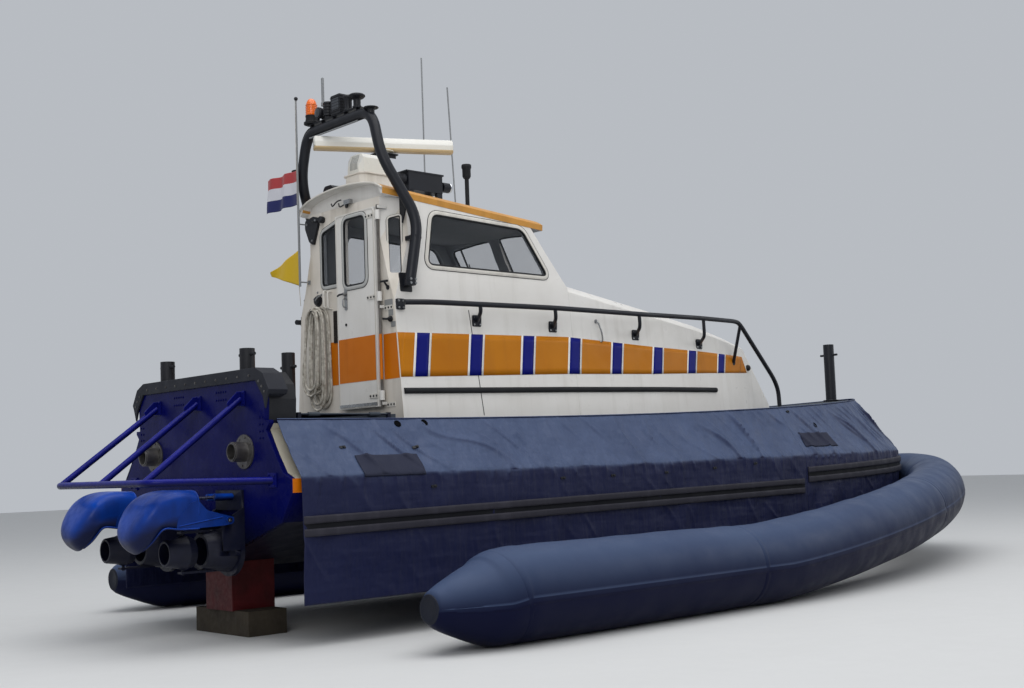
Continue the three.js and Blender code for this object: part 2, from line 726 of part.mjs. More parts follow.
// a window outline with rounded corners, from its corner points
function rounded(corners, radius, steps = 3) {
  const out = [];
  corners.forEach((c, i) => {
    const p = new THREE.Vector2(...c);
    const a = new THREE.Vector2(...corners[(i + corners.length - 1) % corners.length]).sub(p).normalize();
    const b = new THREE.Vector2(...corners[(i + 1) % corners.length]).sub(p).normalize();
    for (let k = 0; k <= steps; k++) {
      const t = k / steps;
      const q = p.clone().addScaledVector(a, radius * (1 - t) * (1 - t)).addScaledVector(b, radius * t * t);
      out.push([q.x, q.y]);
    }
  });
  return out;
}
const sideWindow = rounded([[1905, 3388], [1812, 2938], [3215, 2936], [2945, 3350]], 70);
const aftWallX = [1300, 1600]; // a cutter for the aft wall runs between these
const portWindow = rounded([[85, 3380], [330, 3320], [330, 2850], [85, 2850]], 40);
const cornerWindow = rounded([[-50, 3320], [50, 3345], [50, 2850], [-50, 2850]], 20);
const onCorner = (outline) =>
  slabX(outline, -150, 150).rotateZ((57 * Math.PI) / 180).translate(1530, -585, 0);
const screenPane = (side) =>
  rounded([[side * 60, 3380], [side * 60, 2900], [side * 590, 2890], [side * 545, 3330]], 50);
const doorway = [
  [-500, 1770],
  [-500, 3395],
  [20, 3395],
  [20, 1770],
];
const companionway = box(houseStep - 200, houseStep + 100, 90, 520, deckAt(houseStep) + 30, 2720);
const screenX = [2600, 3700];
const wheelhouseShell = cut(houseLoft(0), [
  houseLoft(wall),
  slabY(sideWindow, -900, 900),
  slabX(doorway, ...aftWallX),
  slabX(portWindow, ...aftWallX),
  onCorner(cornerWindow),
  slabX(screenPane(-1), ...screenX),
  slabX(screenPane(1), ...screenX),
  companionway,
]);
// the rod the door hangs on, held off the aft wall by three lugs
const doorRod = [
  disc(12, 1745, 3430, [doorHinge.x, doorHinge.y, 0], "z", 10),
  ...[1760, 2560, 3400].map((z) => {
    const end = z > shoulder.high ? 1480 : houseAft + 2;
    return box(doorHinge.x - 12, end, doorHinge.y - 16, doorHinge.y + 6, z, z + 24);
  }),
];
add("wheelhouse", join([wheelhouseShell, ...doorRod]), finish.white);

// Glass, set in the middle of each wall
const glassShell = cut(houseLoft(18), [houseLoft(26)]);
const inGlass = (tool) => geometryOf(solid(glassShell).intersect(solid(tool)));
function shrink(outline, d) {
  const mid = outline.reduce((m, p) => [m[0] + p[0] / outline.length, m[1] + p[1] / outline.length], [0, 0]);
  return outline.map(([a, b]) => {
    const l = Math.hypot(a - mid[0], b - mid[1]);
    return [a - ((a - mid[0]) * d) / l, b - ((b - mid[1]) * d) / l];
  });
}
const glassGap = 0.6;
addPair("side_glass", inGlass(slabY(shrink(sideWindow, glassGap), -900, 0)), finish.glass);
add("aft_glass_port", inGlass(slabX(shrink(portWindow, glassGap), ...aftWallX)), finish.glass);
add("aft_glass_stbd", inGlass(onCorner(shrink(cornerWindow, glassGap))), finish.glass);
addPair("screen_glass", inGlass(slabX(shrink(screenPane(-1), glassGap), ...screenX)), finish.glass);

// Roof: a crowned shell with an overhang aft, a closed gable at each end and a vent on a stem
const whole = (list) => [...list, ...list.slice(0, -1).reverse().map(([y, z]) => [-y, z])];
const crown = [
  // share of the roof's half width, height above its edge
  [1, -14],
  [0.86, 34],
  [0.5, 82],
  [0, 100],
];
const roofHalf = (x) => houseHalf(x, roofEdge(x)) + 12;
function roofTop(x, y) {
  const share = Math.abs(y) / roofHalf(x);
  const i = crown.findIndex(([s]) => s <= share);
  const [[s1, z1], [s0, z0]] = [crown[i - 1] ?? crown[0], crown[i]];
  const t = s1 === s0 ? 0 : (share - s0) / (s1 - s0);
  return roofEdge(x) + z0 + (z1 - z0) * t;
}
const roofOuter = (x) => {
  const arc = crown.map(([s, z]) => [s * roofHalf(x), roofEdge(x) + z]);
  return whole([[roofHalf(x), roofEdge(x) - roofDepth], ...arc]);
};
const roofInner = (x) =>
  whole([
    [roofHalf(x) - 90, roofEdge(x) - roofDepth],
    [0.5 * roofHalf(x), roofEdge(x) + 28],
    [0, roofEdge(x) + 48],
  ]);
const roofSlice = (x, outline) => outline.map(([y, z]) => v3(x, y, z));
const roofShell = loft(
  [1390, 1476, 3045, 3205].map((x) => roofSlice(x, [...roofOuter(x), ...roofInner(x).reverse()])),
);
const gable = (x0, x1) => loft([x0, x1].map((x) => roofSlice(x, roofOuter(x))));
const vent = [
  disc(18, 3500, 3960, [2850, 0, 0], "z", 12),
  disc(42, 3940, 4060, [2850, 0, 0], "z", 16),
];
add("roof", join([roofShell, gable(1430, 1650), gable(3010, 3060), ...vent]), finish.orange);

// Fore cabin: a hollow trunk that narrows and falls towards the bow
const cabinTable = [
  // station, height of the side's top edge, share of the crown
  { x: 3460.4, edge: 2812, crown: 1 },
  { x: 4700, edge: 2620, crown: 1 },
  { x: 5450, edge: 2526, crown: 0.9 },
  { x: 6000, edge: 2450, crown: 0.7 },
  { x: 6400, edge: 2392, crown: 0.5 },
  { x: 7000, edge: 1800, crown: 0.1 },
];
function cabinRing(row, inset) {
  const foot = deckAt(row.x) + footGap - (inset ? 60 : 0);
  const h = (z) => houseHalf(row.x, z) - inset;
  const e = row.edge - inset;
  const half = [
    [h(foot), foot],
    [h(e), e],
    [0.84 * h(e), e + 78 * row.crown],
    [0.5 * h(e), e + 140 * row.crown],
    [0, e + 165 * row.crown],
  ];
  return whole(half).map(([y, z]) => v3(row.x, y, z));
}
const cabinInner = cabinTable.slice(0, 5).map((row) => ({ ...row }));
cabinInner[0].x -= 20;
cabinInner[4].x -= 60;
const foreCabin = cut(loft(cabinTable.map((row) => cabinRing(row, 0))), [
  loft(cabinInner.map((row) => cabinRing(row, wall))),
]);
add("fore_cabin", foreCabin, finish.white);

// Door, on three knuckles round the rod
const knuckleZ = [1838, 2660, 3345];
const knuckleHalf = 40;
const doorHalf = 20; // half the door's thickness
const doorFree = 45; // its free edge
const doorPanel = join([
  box(doorHinge.x - doorHalf, doorHinge.x + doorHalf, doorHinge.y + 26, doorFree, 1748, 3418),
  ...knuckleZ.map((z) => disc(22, z - knuckleHalf, z + knuckleHalf, [doorHinge.x, doorHinge.y, 0], "z", 14)),
  ...knuckleZ.map((z) =>
    box(doorHinge.x - 8, doorHinge.x + 8, doorHinge.y, doorHinge.y + 40, z - knuckleHalf, z + knuckleHalf),
  ),
]);
const doorWindow = rounded([[-386, 3370], [-386, 2790], [-84, 2790], [-84, 3370]], 60);
const door = cut(doorPanel, [
  disc(13, 1700, 3500, [doorHinge.x, doorHinge.y, 0], "z", 16),
  slabX(doorWindow, ...aftWallX),
]);
add("door", door, finish.white);
add("door_glass", slabX(shrink(doorWindow, glassGap), doorHinge.x - 4, doorHinge.x + 4), finish.glass);

// Side rails, each with its aft plate, four feet and a sloping end to the deck
const railY = 852;
const railLine = [
  [1450, -800, 2585],
  [1680, -railY, 2592],
  [3110, -railY, 2619],
  [4245, -railY + 12, 2622],
  [5200, -800, 2634],
  [5900, -690, 2645],
  [6000, -670, 2630],
  [6700, -560, 2065],
  [6790, -545, 1940],
  [6800, -545, deckAt(6800) + 2],
];
const railFeet = [
  // station on the rail, station and height on the house side, the rail's distance
  { top: 2221, x: 2300, z: 2479, y: railY },
  { top: 3113, x: 3212, z: 2467, y: railY },
  { top: 4245, x: 4341, z: 2438, y: railY - 12 },
  { top: 5263, x: 5400, z: 2396, y: 790 },
];
function railFoot({ top, x, z, y }) {
  const plate = 50;
  const inner = houseHalf(x - plate, z - plate) + footGap;
  return join([
    bar([[top, -y, 2617], [x, -inner - 12, z]], 17, 6),
    box(x - plate, x + plate, -inner - 24, -inner, z - plate, z + plate),
  ]);
}
const aftPlate = box(1440, 1520, -810, -houseHalf(1500, 2535) - footGap, 2535, 2625);
addPair("side_rail", join([bar(railLine, 23), ...railFeet.map(railFoot), aftPlate]), finish.black);

// Mast arch over the roof, clamped to the house sides, with its lamps
const archRadius = 40;
const archLeg = [
  [1560, 742, 2770],
  [1660, 745, 3300],
  [1403, 600, 3836],
  [1403, 485, 4245],
];
const archLine = [...archLeg.map(([x, y, z]) => [x, -y, z]), ...archLeg.slice().reverse()];
const archClamps = [
  { x: 1560, low: 2735, high: 2800, out: 745 },
  { x: 1632, low: 3130, high: 3165, out: 745 },
];
const clampBoxes = archClamps.flatMap(({ x, low, high, out }) =>
  both((s) => {
    const inner = houseHalf(x, low) + footGap;
    return box(x - 30, x + 30, Math.min(s * inner, s * out), Math.max(s * inner, s * out), low, high);
  }),
);
const lampShelf = 4312;
const archLamps = [
  box(1370, 1436, -340, 450, 4272, lampShelf),
  box(1360, 1470, 150, 290, lampShelf - 5, 4440),
  box(1370, 1450, -40, 90, lampShelf - 5, 4475),
  box(1360, 1470, -320, -130, lampShelf - 5, 4450),
];
add("mast_arch", join([bar(archLine, archRadius, 10), ...clampBoxes, ...archLamps]), finish.black);
const beaconProfile = [
  [0, 0],
  [22, 0],
  [22, 70],
  [52, 75],
  [52, 105],
  [44, 112],
  [44, 205],
  [30, 232],
  [0, 240],
];
add("beacon", turned(beaconProfile, [1403, 410, lampShelf + seat], "z", 16), finish.beacon);

// Radar: a pedestal on the roof and an open array that turns
const radarX = 1890;
const scannerLow = 4050;
const pedestalSlice = (x, half, top) => [
  v3(x, -half, roofTop(x, half) + seat),
  v3(x, 0, roofTop(x, 0) + seat),
  v3(x, half, roofTop(x, half) + seat),
  v3(x, half, top - 40),
  v3(x, half - 40, top),
  v3(x, -half + 40, top),
  v3(x, -half, top - 40),
];
const pedestal = join([
  loft([
    pedestalSlice(1545, 80, 3900),
    pedestalSlice(1580, 115, 3985),
    pedestalSlice(1840, 115, 3985),
    pedestalSlice(1930, 80, 3900),
  ]),
  disc(52, 3860, scannerLow - seat, [radarX, 0, 0], "z", 16),
]);
add("radar_pedestal", pedestal, finish.radar);
const arrayHalf = 625;
const arrayOutline = [
  [-40, 0],
  [40, 0],
  [56, 14],
  [56, 70],
  [34, 120],
  [-34, 120],
  [-56, 70],
  [-56, 14],
];
const array = slabX(arrayOutline, -arrayHalf, arrayHalf)
  .rotateZ((-26 * Math.PI) / 180)
  .translate(radarX, 0, scannerLow);
add("radar_scanner", array, finish.radar);

// Box on the roof, on four feet, with a searchlight in front of it
const roofBoxX = [2080, 2470];
const roofBoxHalf = 100;
const roofBoxZ = [3720, 3890];
const boxFeet = [roofBoxX[0], roofBoxX[1] - 60].flatMap((x) =>
  both((s) => {
    const y = s * 75;
    return box(x, x + 60, y - 20, y + 20, roofTop(x, 55) + seat, roofBoxZ[0] + 5);
  }),
);
const roofBox = join([
  box(...roofBoxX, -roofBoxHalf, roofBoxHalf, ...roofBoxZ),
  ...boxFeet,
  disc(20, roofBoxX[1] - 5, roofBoxX[1] + 30, [0, -60, 3790], "x", 12),
  disc(46, roofBoxX[1] + 20, roofBoxX[1] + 100, [0, -60, 3790], "x", 16),
]);
add("roof_box", roofBox, finish.black);

// Flagstaff on the aft wall with its two flags, and two whip aerials on the roof
const staff = { x: 1330, y: 545, radius: 14 };
const flagstaff = join([
  disc(staff.radius, 2872, 4640, [staff.x, staff.y, 0], "z", 12),
  ...[2900, 3420].map((z) => box(staff.x, houseAft - seat, staff.y - 12, staff.y + 14, z, z + 26)),
]);
add("flagstaff", flagstaff, finish.steel);
const flagThickness = 6;
const flagWave = { depth: 22, length: 260 };
function flagCloth(length, low, high) {
  const start = staff.y + staff.radius + seat;
  const steps = 12;
  const line = (offset) =>
    Array.from({ length: steps + 1 }, (_, i) => {
      const y = start + (length * i) / steps;
      const swing = flagWave.depth * Math.sin((2 * Math.PI * (y - start)) / flagWave.length);
      return [staff.x + swing + offset, y];
    });
  return slabZ([...line(-flagThickness / 2), ...line(flagThickness / 2).reverse()], low, high);
}
add("flag", flagCloth(500, 3580, 3920), finish.flag);
const pennantStart = staff.y + staff.radius + seat;
const pennantOutline = [
  [pennantStart, 2880],
  [pennantStart + 450, 3020],
  [pennantStart + 450, 3060],
  [pennantStart, 3200],
];
const pennant = slabX(pennantOutline, -flagThickness / 2, flagThickness / 2).translate(staff.x, 0, 0);
add("pennant", pennant, finish.yellow);
const whipRadius = 8;
const roofFacet = 1.6; // the roof's facets lie this much under its curve
const whips = {
  mid: { foot: [2750, 500], head: [2750, 500], top: 5200 },
  fore: { foot: [3110, 470], head: [3040, 470], top: 4950 },
};
for (const [name, { foot, head, top }] of Object.entries(whips)) {
  const z = roofTop(foot[0] - 24, foot[1] - 24) + seat - roofFacet;
  const whip = join([
    disc(24, 0, 70, [...foot, z], "z", 12),
    bar([[...foot, z + 10], [...foot, z + 90], [...head, top]], whipRadius, 8),
  ]);
  add("whip_" + name, whip, finish.white);
}

// Inside the wheelhouse: helm console and two seats on one rail
const consoleFoot = deckAt(3350) + seat;
const consoleOutline = [
  [2850, consoleFoot],
  [3350, consoleFoot],
  [3350, 2450],
  [3260, 2560],
  [3000, 2520],
  [2760, 2360],
  [2740, 2300],
  [2850, 2200],
];
add("helm_console", slabY(consoleOutline, -600, 40), finish.black);
const seatY = 330;
const seatFoot = deckAt(2500) + seat;
const seatFrame = join([
  box(2000, 2500, -480, 480, seatFoot, seatFoot + 40),
  ...both((s) => disc(60, seatFoot + 30, 2055, [2230, s * seatY, 0], "z", 16)),
  ...both((s) => box(2000, 2450, s * seatY - 200, s * seatY + 200, 2050, 2080)),
  ...both((s) => box(1985, 2010, s * seatY - 150, s * seatY + 150, 2050, 2520)),
]);
add("seat_frame", seatFrame, finish.steel);
const padOutline = [
  [2010.4, 2080.4],
  [2450, 2080.4],
  [2462, 2120],
  [2450, 2172],
  [2110, 2188],
  [2084, 2610],
  [2050, 2630],
  [2010.4, 2620],
];
addPair("seat_pad", slabY(padOutline, -seatY - 190, -seatY + 190), finish.seat);

// Coiled line hung on the aft wall
const hank = { near: 190, far: 560, low: 1770, high: 2680, depth: 95, round: 170 };
const hankCorners = [
  [hank.near, hank.low],
  [hank.near, hank.high],
  [hank.far, hank.high],
  [hank.far, hank.low],
];
const hankOutline = rounded(hankCorners, hank.round, 5);
add("rope_hank", slabX(hankOutline, houseAft - seat - hank.depth, houseAft - seat), finish.rope);

// Centre the whole on its length
const extent = new THREE.Box3().setFromObject(parts, true);
parts.position.x = -(extent.min.x + extent.max.x) / 2;

export default parts;
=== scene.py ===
import json
import math

import bmesh
import bpy
import numpy as np
from mathutils import Matrix, Vector


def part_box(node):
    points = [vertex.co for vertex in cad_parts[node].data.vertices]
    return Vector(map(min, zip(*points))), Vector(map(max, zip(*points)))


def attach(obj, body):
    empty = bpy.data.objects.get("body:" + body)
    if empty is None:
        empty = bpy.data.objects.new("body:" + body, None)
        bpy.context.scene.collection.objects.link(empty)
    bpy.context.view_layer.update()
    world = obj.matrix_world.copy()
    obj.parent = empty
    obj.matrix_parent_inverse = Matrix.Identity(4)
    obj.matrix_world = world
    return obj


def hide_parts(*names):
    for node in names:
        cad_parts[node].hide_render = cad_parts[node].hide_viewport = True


# Inshore rescue boat on its timber cradle. Every shape below is worked out in boat metres:
# X forward from the transom, Y to port, Z up from the ground. addPiece moves it to the frame.
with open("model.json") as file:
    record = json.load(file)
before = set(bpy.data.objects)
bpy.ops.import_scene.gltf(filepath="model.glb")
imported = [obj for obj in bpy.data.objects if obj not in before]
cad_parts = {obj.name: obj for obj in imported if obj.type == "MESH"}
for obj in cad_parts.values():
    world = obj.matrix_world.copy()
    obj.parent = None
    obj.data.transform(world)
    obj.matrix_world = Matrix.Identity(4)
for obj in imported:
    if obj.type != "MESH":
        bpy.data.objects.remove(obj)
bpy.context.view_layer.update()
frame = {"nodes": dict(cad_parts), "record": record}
record = frame["record"]
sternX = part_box("transom")[0][0]
scene = bpy.context.scene
bodyOf = {node: body for body, nodes in record["behaviour"]["bodies"].items() for node in nodes}
bothSides = ((-1, "Stbd"), (1, "Port"))
aft, fore, toPort, upward = (-1, 0, 0), (1, 0, 0), (0, 1, 0), (0, 0, 1)


# Camera and studio

cameraView = {
    "place": (-5.084, -9.231, 1.233), "yaw": 42.403, "pitch": 4.804, "roll": -2.078, "lens": 46.14,
    "sensor": 36.0, "lift": 0.00986,
}


def makeCamera(view):
    # forward from yaw and pitch, right level with the ground, then both turned by the roll
    yaw, pitch, roll = (math.radians(view[key]) for key in ("yaw", "pitch", "roll"))
    level = math.cos(pitch)
    forward = Vector((math.sin(yaw) * level, math.cos(yaw) * level, math.sin(pitch)))
    right = Vector((math.cos(yaw), -math.sin(yaw), 0.0))
    above = right.cross(forward)
    rightRolled = right * math.cos(roll) + above * math.sin(roll)
    aboveRolled = above * math.cos(roll) - right * math.sin(roll)
    turn = Matrix((rightRolled, aboveRolled, -forward)).transposed().to_4x4()
    data = bpy.data.cameras.new("photoCamera")
    data.lens = view["lens"]
    data.sensor_width = view["sensor"]
    data.shift_y = view["lift"]
    data.clip_end = 400
    camera = bpy.data.objects.new("photoCamera", data)
    x, y, z = view["place"]
    camera.matrix_world = Matrix.Translation((x + sternX, y, z)) @ turn
    scene.collection.objects.link(camera)
    scene.camera = camera


makeCamera(cameraView)
scene.view_settings.view_transform = "Standard"

studio = {
    "skyStrength": 0.6, "sky": (0.8, 0.84, 0.9), "floorSize": 90.0,
    "lamps": [
        # name, place, aim, size, watts
        ("overhead", (2.0, -3.0, 13.0), (4.5, 0.0, 1.5), 16.0, 1250.0),
        ("camera side", (-10.5, -12.5, 9.0), (3.5, 0.0, 1.5), 9.0, 610.0),
        ("bow side", (17.0, -9.0, 8.0), (6.0, 0.0, 1.0), 8.0, 290.0),
    ],
}


def makeStudio(values):
    world = bpy.data.worlds.new("softSky")
    world.use_nodes = True
    background = world.node_tree.nodes["Background"]
    background.inputs["Color"].default_value = (*values["sky"], 1.0)
    background.inputs["Strength"].default_value = values["skyStrength"]
    scene.world = world
    for name, place, aim, size, watts in values["lamps"]:
        data = bpy.data.lights.new(name.replace(" ", "_"), "AREA")
        data.shape = "DISK"
        data.size = size
        data.energy = watts
        lamp = bpy.data.objects.new(data.name, data)
        start, end = (Vector(v) + Vector((sternX, 0, 0)) for v in (place, aim))
        turn = (end - start).to_track_quat("-Z", "Y").to_matrix().to_4x4()
        lamp.matrix_world = Matrix.Translation(start) @ turn
        scene.collection.objects.link(lamp)
    half = values["floorSize"] / 2
    mesh = bpy.data.meshes.new("studioFloor")
    corners = [(-half, -half, 0), (half, -half, 0), (half, half, 0), (-half, half, 0)]
    mesh.from_pydata(corners, [], [(0, 1, 2, 3)])
    floor = bpy.data.objects.new("studioFloor", mesh)
    scene.collection.objects.link(floor)
    return floor


studioFloor = makeStudio(studio)
print("camera and studio made")


# Finishes: each one is a Principled shader whose colour, roughness and bump come from noise on
# Object coordinates, with streaks that run down, and painted shade low down and on faces that look down

def tone(red, green, blue):
    # screen colour, 0 to 255, to the shader's linear colour
    share = np.array([red, green, blue]) / 255.0
    linear = np.where(share <= 0.04045, share / 12.92, ((share + 0.055) / 1.055) ** 2.4)
    return (*(float(v) for v in linear), 1.0)


def filled(value, *usual):
    # a lone amount, or the first few values of a group, made up with the usual ones
    given = value if isinstance(value, tuple) else (value,)
    return given + usual[len(given) - 1:]


def finish(name, base, worn, patch=0.35, rough=0.5, roughSpread=0.12, metal=0.0, grain=0.0,
           ripple=0.0, streak=0.0, coat=0.0, alpha=1.0, weave=0.0, sheen=0.0, low=None, underShade=None,
           shine=0.3, crease=None):
    # base is mixed with worn by a broad noise, then with the streak tone by a noise stretched
    # downwards; bump adds a slow ripple, a fine grain and a weave of two crossed bands.
    # patch, ripple and grain are an amount, or an amount and the size of its noise; streak is an
    # amount, or an amount, a tone and a size; low is a height, a reach and the darker tone painted
    # below them as shade; underShade is painted shade: the darker tone of faces that look down, and
    # the upward part of the normal where it ends and starts; crease is the depth, size and turn of
    # wrinkles that run slantwise, as a noise stretched that way
    material = bpy.data.materials.new(name)
    material.use_nodes = True
    nodes, links = material.node_tree.nodes, material.node_tree.links
    shader = nodes["Principled BSDF"]
    place = nodes.new("ShaderNodeTexCoord").outputs["Object"]

    def add(kind, source, values=None, socket="Vector"):
        made = nodes.new("ShaderNode" + kind)
        links.new(source, made.inputs[socket])
        for key, value in (values or {}).items():
            made.inputs[key].default_value = value
        return made

    def noise(scale, detail, stretch=None, blur=0.55, turn=0.0):
        source = place
        if stretch:
            turned = {"Scale": stretch, "Rotation": (0.0, math.radians(turn), 0.0)}
            source = add("Mapping", source, turned).outputs["Vector"]
        values = {"Scale": scale, "Detail": detail, "Roughness": blur}
        return add("TexNoise", source, values).outputs["Fac"]

    def spread(source, *limits):
        values = dict(zip(("From Min", "From Max", "To Min", "To Max"), limits))
        return add("MapRange", source, values, "Value").outputs["Result"]

    def blend(factor, first, second):
        made = nodes.new("ShaderNodeMix")
        made.data_type = "RGBA"
        links.new(factor, made.inputs[0])
        for socket, value in ((6, first), (7, tone(*second))):
            if isinstance(value, tuple):
                made.inputs[socket].default_value = value
            else:
                links.new(value, made.inputs[socket])
        return made.outputs[2]

    patch, patchSize = filled(patch, 1.6)
    colour = blend(spread(noise(patchSize, 6.0), 0.35, 0.72, 0.0, patch), tone(*base), worn)
    streak, streakTone, streakSize = filled(streak, (70, 66, 58), 7.0)
    if streak:
        runs = noise(streakSize, 4.0, (1.0, 1.0, 0.06))
        colour = blend(spread(runs, 0.52, 0.78, 0.0, streak), colour, streakTone)
    # painted shade: below the given height the colour darkens to the low tone
    if low:
        height, reach, lowShadeTone = low
        level = add("SeparateXYZ", place).outputs["Z"]
        colour = blend(spread(level, height - reach, height, 1.0, 0.0), colour, lowShadeTone)
    # painted shade: faces that look down are mixed towards the darker under tone
    if underShade:
        underShadeTone, start, end = underShade
        normal = nodes.new("ShaderNodeNewGeometry").outputs["Normal"]
        facing = add("SeparateXYZ", normal).outputs["Z"]
        colour = blend(spread(facing, start, end, 1.0, 0.0), colour, underShadeTone)
    links.new(colour, shader.inputs["Base Color"])
    limits = (0.3, 0.75, rough - roughSpread, rough + roughSpread)
    links.new(spread(noise(patchSize * 4.0, 4.0), *limits), shader.inputs["Roughness"])
    constants = {"Specular IOR Level": shine, "Metallic": metal, "Coat Weight": coat,
                 "Coat Roughness": 0.12, "Sheen Weight": sheen, "Alpha": alpha}
    for key, value in constants.items():
        shader.inputs[key].default_value = value

    bumps = []
    ripple, rippleSize = filled(ripple, 18.0)
    grain, grainSize = filled(grain, 140.0)
    if ripple:
        bumps.append((noise(rippleSize, 2.0), ripple))
    if crease:
        depth, size, turn = crease
        bumps.append((noise(size, 3.0, (1.0, 1.0, 0.16), 0.5, turn), depth))
        bumps.append((noise(size * 0.8, 3.0, (0.16, 1.0, 1.0), 0.5, turn - 24.0), depth * 0.6))
    if grain:
        bumps.append((noise(grainSize, 3.0), grain))
    if weave:
        for direction in ("X", "Z"):
            wave = add("TexWave", place, {"Scale": 420.0 / 6.283, "Distortion": 0.6})
            wave.bands_direction = direction
            bumps.append((wave.outputs["Fac"], weave))
    normal = None
    for source, depth in bumps:
        bump = add("Bump", source, {"Strength": 1.0, "Distance": depth}, "Height")
        if normal:
            links.new(normal, bump.inputs["Normal"])
        normal = bump.outputs["Normal"]
    if normal:
        links.new(normal, shader.inputs["Normal"])
    return material


